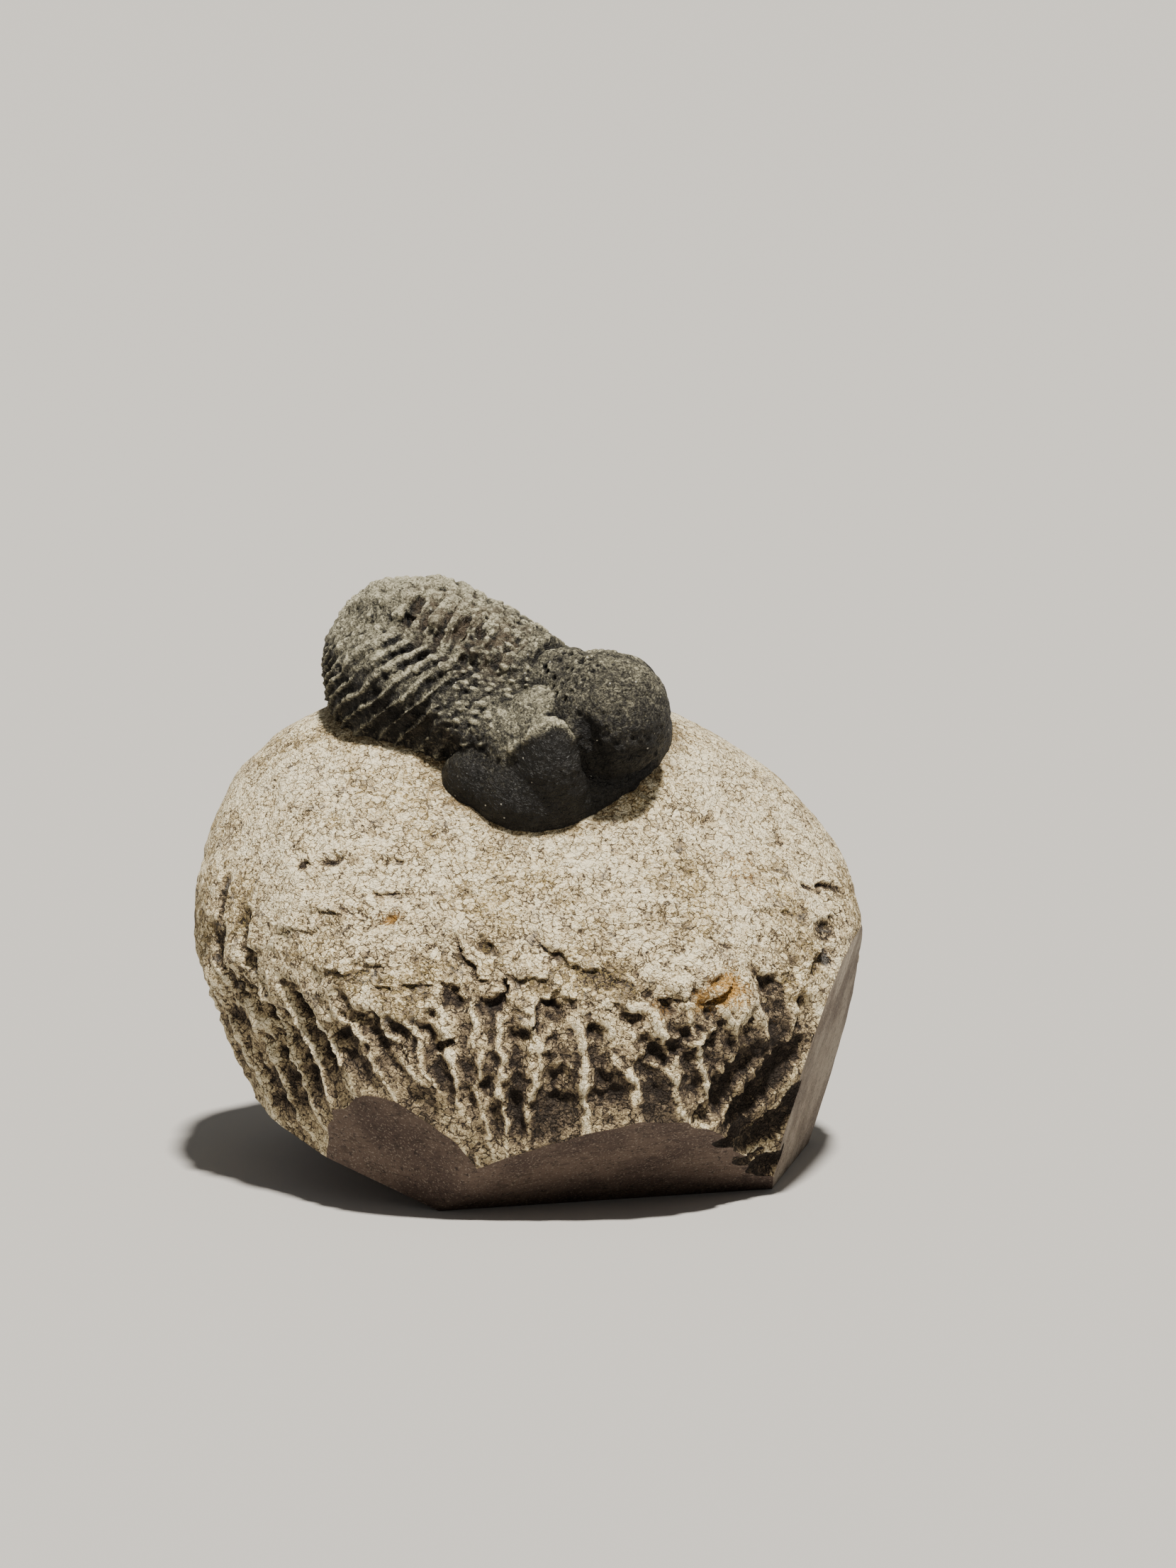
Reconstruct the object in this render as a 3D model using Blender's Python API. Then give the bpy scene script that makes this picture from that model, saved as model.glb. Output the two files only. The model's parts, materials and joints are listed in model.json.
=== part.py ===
"""Trilobite fossil bent over the top of the limestone lump that it was freed from.

Two stone pieces: the matrix stone, a blunt lump with a scraped dome, a flank dressed with
a point chisel and flat saw cuts below and on the right, and the fossil, one petrified
animal with its head low at the front right and its tail at the back left.

Sizes are in millimetres and become metres when a mesh is made. +Z is up, +X is right,
the front of the stone looks along -Y, and the origin is the middle of the underside.
"""
import math
import random

import bmesh
import bpy
import numpy as np
from mathutils import Matrix, Vector, noise

MM = 0.001

# Edges that bend more than this are drawn sharp, in degrees
SHARP_ANGLE = 38.0

# The two pieces do not touch: the fossil keeps this gap to the stone under it
SEAT_GAP = 0.35

# Blunt lump
LUMP_MIDDLE = np.array((0.0, 0.0, 26.0))
LUMP_ROUNDING = 15.0
LUMP_SUBDIVISIONS = 7
STONE_TRIANGLES = 5900
BLUNT_FACES = (
    # compass angle from +X, angle above level, distance from the middle
    (0, 90, 28.8),
    (0, 68, 28.6), (90, 68, 29.6), (180, 68, 33.8), (270, 68, 25.4),
    (0, 42, 33.2), (45, 42, 31.0), (90, 42, 30.5), (135, 42, 33.5),
    (180, 42, 38.0), (225, 42, 29.8), (270, 42, 21.8), (315, 42, 26.3),
    (0, 0, 37.0), (45, 0, 34.8), (90, 0, 32.4), (135, 0, 35.0),
    (180, 8, 37.2), (225, 0, 34.2), (270, 0, 33.4), (315, 0, 35.4),
    (0, -30, 41.5), (60, -30, 37.0), (120, -30, 35.0), (180, -30, 34.5),
    (225, -30, 37.4), (270, -30, 38.0), (315, -30, 39.0),
)
NOISE_SHIFT = (17.0, 5.0, 3.0)
SWELL_SIZE = 13.0
SWELL_HEIGHT = 0.7
LUMP_SIZE = 4.6
LUMP_HEIGHT = 0.3

# Point-chisel scoops round the flank
SCOOP_SEED = 11
SCOOP_COUNT = 44
SCOOP_DEPTH = 1.5
SCOOP_BAND_DEPTH = 0.6
SCOOP_TOP = 24.5
SCOOP_TOP_SPREAD = 2.6
SCOOP_START = 4.5
SCOOP_ROUNDNESS = 2.6
SCOOP_LEAN = 0.001
SCOOP_RIDGE_SHIFT = 0.22
SCOOP_DEPTH_SHARES = (0.65, 1.1)

# Single gouges and chips: compass angle, height, length across, length down, slant, depth
GOUGES = (
    (318, 14.5, 6.0, 2.0, 38, 1.3), (316, 11.2, 6.6, 2.2, 36, 1.5),
    (314, 7.8, 6.6, 2.2, 34, 1.5), (318, 4.4, 6.4, 2.2, 30, 1.5),
    (297, 17.0, 2.6, 2.0, 10, 1.4), (256, 23.5, 2.2, 4.4, 20, 0.9),
    (263, 28.0, 5.0, 1.8, 24, 0.7), (288, 25.0, 7.0, 1.6, -20, 0.8),
    (232, 33.0, 4.6, 3.0, 25, 0.6), (214, 25.0, 3.4, 6.0, -15, 0.9),
    (243, 7.5, 4.0, 1.5, -10, 0.8), (276, 6.2, 4.5, 1.6, 8, 1.0),
)

# Saw cuts: outward normal, and a point on the cut
SAW_CUTS = (
    ((0.0, 0.0, -1.0), (0.0, 0.0, 0.0)),
    ((0.18, -0.62, -0.765), (-9.4, -24.0, 0.0)),
    ((-0.40, -0.76, -0.51), (-9.4, -24.0, 0.0)),
    ((-0.385, 0.05, -0.92), (-9.4, -24.0, 0.0)),
    ((0.935, -0.20, -0.276), (31.9, -5.0, 11.7)),
    ((0.12, 0.68, -0.72), (4.0, 20.0, 0.0)),
)
# The chisel's marks run out over this distance outside a saw cut, so that its face stays whole
SAW_MARGIN = (0.0, 1.5)

# Fossil: line along the middle of the body, from under the brow to the tail
SPINE = (
    (13.0, -15.4, 45.8), (8.4, -12.6, 49.6), (2.4, -8.9, 52.4), (-4.2, -4.6, 54.3),
    (-10.4, -0.8, 56.0), (-14.4, 1.8, 56.6),
)
SPINE_STEP = 1.5
HEADING = 32.0
HEAD_ROLL = 20.0
HEAD_STATION = 10.5
TAIL_STATION = 30.5
HEAD_CAP = 3.0
TAIL_CAP = 11.4
TAIL_ARC = 7.5
BODY_DEPTH = 12.0
FOSSIL_ROWS = 220
FOSSIL_COLUMNS = 192
FOSSIL_TRIANGLES = 5400

# Stations along the body, with the half width, height and sideways roll there
BODY_STATIONS = (10.5, 14.5, 18.0, 24.0, 30.5)
BODY_HALF_WIDTHS = (5.0, 9.4, 10.2, 10.8, 11.2)
BODY_HEIGHTS = (0.5, 3.9, 5.2, 7.4, 8.7)
BODY_ROLLS = (18.0, 21.0, 26.0, 31.0, 32.0)
PLAN_SQUARENESS = 2.2
BODY_SQUARENESS = 2.05
WALL_SQUARENESS = 3.2
FAR_SIDE_SHARE = 0.86
AXIS_WIDTH_SHARE = 0.42
AXIS_RISE = 1.1
AXIS_SQUARENESS = 2.7
BLEND_POWER = 26.0

# Head lobes in the head's own directions: middle (forward, right, up), then half sizes
BROW = (8.5, -12.6, 52.0)
HEAD_LOBES = (
    ((0.0, 0.0, 0.0), (6.9, 6.9, 6.9)),
    ((-5.6, 0.0, -0.6), (5.0, 4.6, 5.4)),
    ((-10.2, 0.0, -2.2), (1.7, 5.4, 6.4)),
    ((-3.8, 0.0, -8.2), (9.6, 13.8, 7.8)),
    ((-8.2, 10.0, -9.0), (4.2, 4.0, 5.4)),
    ((-8.2, -10.0, -9.0), (4.2, 4.0, 5.4)),
    ((-2.2, 7.7, -2.4), (3.7, 2.8, 4.2)),
    ((-2.2, -7.7, -2.4), (3.7, 2.8, 4.2)),
)
HEAD_PITCH = 25.0

# Rings and ribs
RING_START = 13.6
RING_PITCH = 1.75
RING_COUNT = 15
RING_GROOVE = 0.75
RING_GROOVE_WIDTH = 0.2
RIB_SWEEPS = (0.45, 0.95)
RIB_SWEEP_STATIONS = (18.0, 36.0)
RIB_FOLD_HEIGHT = 4.0
RIB_FOLD_SHARE = 0.7
TAIL_FADE = 0.6
TAIL_FADE_STATIONS = (29.0, 34.0)
TAIL_FADE_HEIGHTS = (3.0, 6.0)


def unit(vector):
    """Return the vector, or each row of an array, scaled to length one."""
    array = np.asarray(vector, dtype=float)
    return array / np.linalg.norm(array, axis=-1, keepdims=True)


def compass(azimuth, elevation):
    """Return the unit direction at a compass angle and an angle above level."""
    turn = np.radians(azimuth)
    rise = np.radians(elevation)
    return np.stack((np.cos(turn) * np.cos(rise), np.sin(turn) * np.cos(rise), np.sin(rise)), -1)


def ramp(values, low, high):
    """Return a smooth step from 0 at low to 1 at high."""
    share = np.clip((values - low) / (high - low), 0.0, 1.0)
    return share * share * (3.0 - 2.0 * share)


def swell(points, size, seed):
    """Return even noise between about -1 and 1 with lumps of the given size."""
    shift = Vector(NOISE_SHIFT) * seed
    return np.array([noise.noise(Vector(point) / size + shift) for point in points])


def scoop_depth(points):
    """Return how deep the chisel scoops cut into the flank at each point."""
    dice = random.Random(SCOOP_SEED)
    aside = SCOOP_RIDGE_SHIFT
    ridges = [(step + dice.uniform(-aside, aside)) / SCOOP_COUNT for step in range(SCOOP_COUNT)]
    depths = np.array([SCOOP_DEPTH * dice.uniform(*SCOOP_DEPTH_SHARES) for _ in ridges])
    tops = np.array([SCOOP_TOP + SCOOP_TOP_SPREAD * dice.uniform(-1.0, 1.0) for _ in ridges])
    below = SCOOP_TOP - points[:, 2]
    turn = np.arctan2(points[:, 1], points[:, 0]) / (2.0 * math.pi) - below * SCOOP_LEAN
    turn = np.mod(turn - ridges[0], 1.0) + ridges[0]
    edges = np.array(ridges + [ridges[0] + 1.0])
    index = np.clip(np.searchsorted(edges, turn, side="right") - 1, 0, SCOOP_COUNT - 1)
    across = (turn - edges[index]) / (edges[index + 1] - edges[index])
    hollow = 1.0 - np.abs(2.0 * across - 1.0) ** SCOOP_ROUNDNESS
    started = ramp(tops[index] - points[:, 2], 0.0, SCOOP_START)
    return started * (SCOOP_BAND_DEPTH + hollow * depths[index])


def gouge_depth(points):
    """Return how deep the single gouges and chips cut at each point."""
    depth = np.zeros(len(points))
    radius = np.hypot(points[:, 0], points[:, 1])
    turn = np.degrees(np.arctan2(points[:, 1], points[:, 0]))
    for azimuth, height, length, width, slant, deep in GOUGES:
        away = np.mod(turn - azimuth + 180.0, 360.0) - 180.0
        along = np.radians(away) * radius
        rise = points[:, 2] - height
        lean = math.radians(slant)
        major = (along * math.cos(lean) + rise * math.sin(lean)) / length
        minor = (rise * math.cos(lean) - along * math.sin(lean)) / width
        depth = np.maximum(depth, deep * np.clip(1.0 - major ** 2 - minor ** 2, 0.0, 1.0))
    return depth


def saw_share(points):
    """Return how far each point belongs to a sawn face: 0 inside every cut, 1 well outside one."""
    beyond = np.full(len(points), -np.inf)
    for normal, point in SAW_CUTS:
        beyond = np.maximum(beyond, (points - np.array(point)) @ unit(normal))
    return ramp(beyond, *SAW_MARGIN)


def lump_surface(directions, extra=0.0):
    """Return the lump's surface points in the given directions from its middle."""
    pull = np.zeros(len(directions))
    for azimuth, elevation, distance in BLUNT_FACES:
        facing = directions @ compass(azimuth, elevation)
        pull += (np.clip(facing, 0.0, None) / distance) ** LUMP_ROUNDING
    radius = pull ** (-1.0 / LUMP_ROUNDING)
    points = LUMP_MIDDLE + directions * radius[:, None]
    radius += SWELL_HEIGHT * swell(points, SWELL_SIZE, 1)
    radius += LUMP_HEIGHT * swell(points, LUMP_SIZE, 2)
    marks = scoop_depth(points) + gouge_depth(points)
    radius -= marks * (1.0 - saw_share(points))
    return LUMP_MIDDLE + directions * (radius + extra)[:, None]


def spine_line(stations):
    """Return points on the curve through the spine's points, at lengths from its start."""
    knots = np.array(SPINE)
    lengths = np.concatenate(([0.0], np.cumsum(np.linalg.norm(np.diff(knots, axis=0), axis=1))))
    slopes = np.gradient(knots, lengths, axis=0)
    index = np.clip(np.searchsorted(lengths, stations, side="right") - 1, 0, len(knots) - 2)
    span = (lengths[index + 1] - lengths[index])[:, None]
    share = ((stations - lengths[index])[:, None]) / span
    start = (1.0 + 2.0 * share) * (1.0 - share) ** 2
    leave = share * (1.0 - share) ** 2 * span
    end = share ** 2 * (3.0 - 2.0 * share)
    arrive = share ** 2 * (share - 1.0) * span
    line = start * knots[index] + leave * slopes[index]
    return line + end * knots[index + 1] + arrive * slopes[index + 1]


def leaning_up(roll):
    """Return the upward direction of a body that rolls towards its right side."""
    turn = math.radians(HEADING)
    tilt = np.radians(roll)
    aside = np.sin(tilt)
    return np.stack((-math.sin(turn) * aside, -math.cos(turn) * aside, np.cos(tilt)), -1)


def body_frames(stations):
    """Return the middle, forward, right and up directions at each station."""
    middle = spine_line(stations)
    ahead = unit(spine_line(stations - SPINE_STEP) - spine_line(stations + SPINE_STEP))
    roll = np.interp(stations, BODY_STATIONS, BODY_ROLLS)
    lean = leaning_up(roll)
    upward = unit(lean - ahead * np.sum(lean * ahead, axis=1, keepdims=True))
    right = np.cross(ahead, upward)
    return middle, ahead, right, upward


def lobe_reach(origins, directions, middle, half_sizes, axes):
    """Return how far along each ray an ellipsoid reaches, or 0 where the ray misses it."""
    start = ((origins - middle) @ axes.T) / half_sizes
    course = (directions @ axes.T) / half_sizes
    square = np.sum(course * course, axis=1)
    cross = np.sum(start * course, axis=1)
    rest = np.sum(start * start, axis=1) - 1.0
    inside = cross ** 2 - square * rest
    reach = (-cross + np.sqrt(np.clip(inside, 0.0, None))) / square
    return np.where(inside > 0.0, np.clip(reach, 0.0, None), 0.0)


def ring_relief(station, lateral, height, half_width):
    """Return the rise and fall of the rings and ribs across the body."""
    axis_edge = AXIS_WIDTH_SHARE * half_width
    outward = np.clip(lateral - axis_edge, 0.0, None)
    outward = outward + np.clip(RIB_FOLD_HEIGHT - height, 0.0, None) * RIB_FOLD_SHARE
    outward = outward * ramp(lateral, axis_edge * 0.8, axis_edge * 1.2)
    sweep = np.interp(station, RIB_SWEEP_STATIONS, RIB_SWEEPS)
    phase = (station - sweep * outward - RING_START) / RING_PITCH
    across = np.mod(phase, 1.0)
    groove = np.exp(-((np.minimum(across, 1.0 - across)) / RING_GROOVE_WIDTH) ** 2)
    in_rings = ramp(phase, 0.0, 0.3) * ramp(RING_COUNT - phase, 0.0, 0.6)
    smooth = TAIL_FADE * ramp(station, *TAIL_FADE_STATIONS) * ramp(height, *TAIL_FADE_HEIGHTS)
    return -RING_GROOVE * groove * in_rings * (1.0 - smooth)


def fossil_surface(rows, columns):
    """Return the fossil's skin as rows of points from the brow to the tail's end."""
    cap_rows = rows // 5
    body_rows = rows - 2 * cap_rows
    tilt = np.radians(np.concatenate((
        np.linspace(0.0, 90.0, cap_rows, endpoint=False)[1:],
        np.full(body_rows, 90.0),
        np.linspace(90.0, 180.0, cap_rows + 1)[1:-1],
    )))
    station = np.concatenate((
        np.full(cap_rows - 1, HEAD_STATION),
        np.linspace(HEAD_STATION, TAIL_STATION, body_rows),
        np.full(cap_rows - 1, TAIL_STATION),
    ))
    turn = np.linspace(-math.pi, math.pi, columns, endpoint=False)
    frames = [np.repeat(part, columns, axis=0) for part in body_frames(station)]
    middle, ahead, right, upward = frames
    lean = np.repeat(tilt, columns)[:, None]
    around = np.tile(turn, len(tilt))[:, None]
    aside = right * np.sin(around) + upward * np.cos(around)
    directions = ahead * np.cos(lean) + aside * np.sin(lean)
    points = skin_points(middle, directions, ahead, right, upward, np.repeat(station, columns))
    ends = np.array((0, -1))
    pole_station = station[ends]
    pole_middle, pole_ahead, pole_right, pole_up = body_frames(pole_station)
    pole_ways = pole_ahead * np.array(((1.0,), (-1.0,)))
    poles = skin_points(pole_middle, pole_ways, pole_ahead, pole_right, pole_up, pole_station)
    return points.reshape(len(tilt), columns, 3), poles


def skin_points(middle, directions, ahead, right, upward, station):
    """Return the skin's point along each ray from the body's middle line."""
    forward = np.sum(directions * ahead, axis=1)
    lateral = np.sum(directions * right, axis=1)
    height = np.sum(directions * upward, axis=1)
    half_width = np.interp(station, BODY_STATIONS, BODY_HALF_WIDTHS)
    half_width = half_width * np.where(lateral < 0.0, FAR_SIDE_SHARE, 1.0)
    lobe_height = np.interp(station, BODY_STATIONS, BODY_HEIGHTS)
    cap = np.where(forward > 0.0, HEAD_CAP, TAIL_CAP)
    tall = np.where(height > 0.0, lobe_height, BODY_DEPTH)
    square = np.where(height > 0.0, BODY_SQUARENESS, WALL_SQUARENESS)
    plan = (np.abs(forward) / cap) ** PLAN_SQUARENESS
    plan = plan + (np.abs(lateral) / half_width) ** PLAN_SQUARENESS
    sides = plan ** (square / PLAN_SQUARENESS) + (np.abs(height) / tall) ** square
    sides = sides ** (-1.0 / square)
    square = AXIS_SQUARENESS
    ridge_tall = np.where(height > 0.0, lobe_height + AXIS_RISE, BODY_DEPTH)
    ridge = (np.abs(lateral) / (half_width * AXIS_WIDTH_SHARE)) ** square
    ridge = ridge + (np.abs(forward) / cap) ** square + (np.abs(height) / ridge_tall) ** square
    ridge = ridge ** (-1.0 / square)
    trunk = sides ** BLEND_POWER + ridge ** BLEND_POWER
    reach = trunk
    axes = head_axes()
    for place, half_sizes in HEAD_LOBES:
        centre = np.array(BROW) + np.array(place) @ axes
        lobe = lobe_reach(middle, directions, centre, np.array(half_sizes), axes)
        reach = reach + lobe ** BLEND_POWER
    clear = (trunk / reach) ** 2
    reach = reach ** (1.0 / BLEND_POWER)
    behind = station + np.arcsin(np.clip(-forward, 0.0, 1.0)) * TAIL_ARC
    reach = reach + clear * ring_relief(behind, np.abs(lateral) * reach, height * reach, half_width)
    return middle + directions * reach[:, None]


def head_axes():
    """Return the head's forward, right and up directions as rows."""
    turn = math.radians(HEADING)
    pitch = math.radians(HEAD_PITCH)
    ahead = np.array((math.cos(turn), -math.sin(turn), 0.0)) * math.cos(pitch)
    ahead[2] = -math.sin(pitch)
    lean = leaning_up(HEAD_ROLL)
    upward = unit(lean - ahead * np.dot(lean, ahead))
    return np.stack((ahead, np.cross(ahead, upward), upward))


def finish(name, colour, roughness):
    """Return a stone material of one colour and roughness."""
    material = bpy.data.materials.new(name)
    material.use_nodes = True
    shader = material.node_tree.nodes["Principled BSDF"]
    shader.inputs["Base Color"].default_value = (*colour, 1.0)
    shader.inputs["Roughness"].default_value = roughness
    shader.inputs["Metallic"].default_value = 0.0
    material.diffuse_color = (*colour, 1.0)
    return material


def new_object(name, mesh, material):
    """Add an object for the mesh to the scene, with its material."""
    piece = bpy.data.objects.new(name, mesh)
    bpy.context.scene.collection.objects.link(piece)
    if material is not None:
        mesh.materials.append(material)
    return piece


def thinned(piece, triangles):
    """Return a new mesh: the object's shape with about the given number of triangles."""
    faces = sum(len(polygon.vertices) - 2 for polygon in piece.data.polygons)
    modifier = piece.modifiers.new("thin", "DECIMATE")
    modifier.ratio = triangles / faces
    modifier.use_collapse_triangulate = True
    graph = bpy.context.evaluated_depsgraph_get()
    mesh = bpy.data.meshes.new_from_object(piece.evaluated_get(graph))
    bpy.data.objects.remove(piece)
    return mesh


def soften(mesh):
    """Shade the mesh smooth, with its sharp edges kept."""
    mesh.shade_smooth()
    mesh.set_sharp_from_angle(angle=math.radians(SHARP_ANGLE))


def lump_mesh(extra):
    """Return the whole unsawn lump, thinned, grown outwards by the extra distance."""
    form = bmesh.new()
    bmesh.ops.create_icosphere(form, subdivisions=LUMP_SUBDIVISIONS, radius=1.0)
    directions = unit(np.array([vertex.co for vertex in form.verts]))
    for vertex, place in zip(form.verts, lump_surface(directions)):
        vertex.co = Vector(place) * MM
    mesh = bpy.data.meshes.new("lump")
    form.to_mesh(mesh)
    form.free()
    mesh = thinned(new_object("lump", mesh, None), STONE_TRIANGLES)
    middle = Vector(LUMP_MIDDLE) * MM
    for vertex in mesh.vertices:
        away = vertex.co - middle
        vertex.co = middle + away * (1.0 + extra * MM / away.length)
    return mesh


def saw(form, normal, point):
    """Cut the form flat at a plane, drop what lies outside it, and close the cut."""
    cut = bmesh.ops.bisect_plane(
        form,
        geom=form.verts[:] + form.edges[:] + form.faces[:],
        plane_co=Vector(point) * MM,
        plane_no=Vector(normal).normalized(),
        clear_outer=True,
    )
    edges = [item for item in cut["geom_cut"] if isinstance(item, bmesh.types.BMEdge)]
    bmesh.ops.contextual_create(form, geom=edges)


def drop_crumbs(form):
    """Remove the loose crumbs that a saw cut leaves beside the largest body."""
    unseen = set(form.verts)
    bodies = []
    while unseen:
        waiting = [unseen.pop()]
        body = set(waiting)
        while waiting:
            vertex = waiting.pop()
            near = {edge.other_vert(vertex) for edge in vertex.link_edges} & unseen
            unseen -= near
            body |= near
            waiting.extend(near)
        bodies.append(body)
    largest = max(bodies, key=len)
    crumbs = [vertex for vertex in form.verts if vertex not in largest]
    bmesh.ops.delete(form, geom=crumbs, context="VERTS")


def make_stone(material):
    """Build the matrix stone: the lump with its saw cuts."""
    mesh = lump_mesh(0.0)
    form = bmesh.new()
    form.from_mesh(mesh)
    for normal, point in SAW_CUTS:
        saw(form, normal, point)
    drop_crumbs(form)
    bmesh.ops.triangulate(form, faces=[face for face in form.faces if len(face.verts) > 4])
    bmesh.ops.recalc_face_normals(form, faces=form.faces)
    form.to_mesh(mesh)
    form.free()
    mesh.materials.clear()
    soften(mesh)
    return new_object("matrix_stone", mesh, material)


def make_fossil(material):
    """Build the trilobite and hollow its underside to the dome that it lies on."""
    skin, poles = fossil_surface(FOSSIL_ROWS, FOSSIL_COLUMNS)
    rows, columns = skin.shape[:2]
    form = bmesh.new()
    rings = [[form.verts.new(Vector(place) * MM) for place in row] for row in skin]
    front = form.verts.new(Vector(poles[0]) * MM)
    back = form.verts.new(Vector(poles[1]) * MM)
    for column in range(columns):
        after = (column + 1) % columns
        form.faces.new((front, rings[0][after], rings[0][column]))
        form.faces.new((back, rings[-1][column], rings[-1][after]))
        for row in range(rows - 1):
            ring, below = rings[row], rings[row + 1]
            form.faces.new((ring[column], ring[after], below[after], below[column]))
    bmesh.ops.recalc_face_normals(form, faces=form.faces)
    mesh = bpy.data.meshes.new("skin")
    form.to_mesh(mesh)
    form.free()
    mesh = thinned(new_object("skin", mesh, None), FOSSIL_TRIANGLES)
    soften(mesh)
    fossil = new_object("trilobite", mesh, material)
    seat = new_object("seat_cutter", lump_mesh(SEAT_GAP), None)
    seat.hide_render = True
    seat.display_type = "WIRE"
    hollow = fossil.modifiers.new("seat", "BOOLEAN")
    hollow.operation = "DIFFERENCE"
    hollow.solver = "EXACT"
    hollow.object = seat
    return fossil


def centre_over_origin(stone):
    """Shift every mesh so that the stone's underside is centred on the origin."""
    places = np.array([vertex.co for vertex in stone.data.vertices])
    middle = (places.min(axis=0) + places.max(axis=0)) / 2.0
    for mesh in {piece.data for piece in bpy.data.objects}:
        mesh.transform(Matrix.Translation((-middle[0], -middle[1], 0.0)))


def main():
    """Clear the scene and build both pieces."""
    for thing in list(bpy.data.objects):
        bpy.data.objects.remove(thing)
    stone = make_stone(finish("limestone", (0.50, 0.44, 0.33), 0.9))
    make_fossil(finish("fossil_shell", (0.075, 0.075, 0.062), 0.55))
    centre_over_origin(stone)


if __name__ == "__main__":
    main()
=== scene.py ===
"""Looks of a trilobite fossil that lies bent over the dome of its limestone matrix.

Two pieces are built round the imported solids: the matrix stone, scraped on its dome,
point-chiselled round its flank and sawn flat below and on the right, and the fossil with
its rings, ribs, eye and pitted brow. Sizes are in millimetres and become metres when a
mesh is finished. +Z is up and the front looks along -Y.
"""

import json
import logging
import math
import random
from dataclasses import dataclass, field
from enum import Enum
from typing import Optional, Sequence

import bpy
import numpy as np
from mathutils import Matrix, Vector, noise
from mathutils.kdtree import KDTree

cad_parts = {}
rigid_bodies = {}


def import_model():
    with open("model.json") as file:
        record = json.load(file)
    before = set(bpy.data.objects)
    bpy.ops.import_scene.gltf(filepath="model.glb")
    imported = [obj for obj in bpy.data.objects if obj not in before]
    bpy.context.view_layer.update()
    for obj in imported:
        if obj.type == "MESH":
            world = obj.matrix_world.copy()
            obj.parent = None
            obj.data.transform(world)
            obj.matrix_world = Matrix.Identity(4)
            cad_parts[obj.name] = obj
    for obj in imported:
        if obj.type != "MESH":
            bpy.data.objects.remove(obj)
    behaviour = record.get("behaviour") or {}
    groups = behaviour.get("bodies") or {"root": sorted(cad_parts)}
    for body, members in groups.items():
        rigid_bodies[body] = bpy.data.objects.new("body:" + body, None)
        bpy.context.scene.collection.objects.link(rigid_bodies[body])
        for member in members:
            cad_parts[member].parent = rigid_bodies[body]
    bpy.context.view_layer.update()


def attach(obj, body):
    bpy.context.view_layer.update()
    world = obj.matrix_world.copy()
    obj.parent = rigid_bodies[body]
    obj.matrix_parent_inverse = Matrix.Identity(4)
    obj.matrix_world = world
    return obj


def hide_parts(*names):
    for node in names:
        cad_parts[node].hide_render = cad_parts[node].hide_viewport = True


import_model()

MM = 0.001
ROOT = "root"
CENTRE_SHIFT = np.array((-0.085, -0.16, 0.0))
LOG = logging.getLogger("trilobite")

Array = np.ndarray
Triple = tuple[float, float, float]


class MarkKind(Enum):
    """Kinds of tool mark and break on the stone."""

    DENT = "dent"
    LEDGE = "ledge"
    SCRATCH = "scratch"


class Feature(Enum):
    """Voronoi features that the finishes use."""

    CELLS = "F1"
    EDGES = "DISTANCE_TO_EDGE"


def unit(vectors: Array) -> Array:
    """Scale each row to length one.

    Args:
        vectors: One vector, or rows of vectors.

    Returns:
        The same directions with length one.
    """
    rows = np.asarray(vectors, dtype=float)
    return rows / np.linalg.norm(rows, axis=-1, keepdims=True)


def compass(azimuth: float, elevation: float) -> Array:
    """Turn a compass angle and a height angle into a direction.

    Args:
        azimuth: Degrees from +X towards +Y.
        elevation: Degrees above level.

    Returns:
        The unit direction.
    """
    turn, rise = math.radians(azimuth), math.radians(elevation)
    flat = math.cos(rise)
    return np.array((math.cos(turn) * flat, math.sin(turn) * flat, math.sin(rise)))


def ramp(values: Array, low: float, high: float) -> Array:
    """Step smoothly from 0 at low to 1 at high.

    Args:
        values: Numbers to map.
        low: Where the step starts.
        high: Where the step ends.

    Returns:
        Shares from 0 to 1.
    """
    share = np.clip((values - low) / (high - low), 0.0, 1.0)
    return share * share * (3.0 - 2.0 * share)


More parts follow.
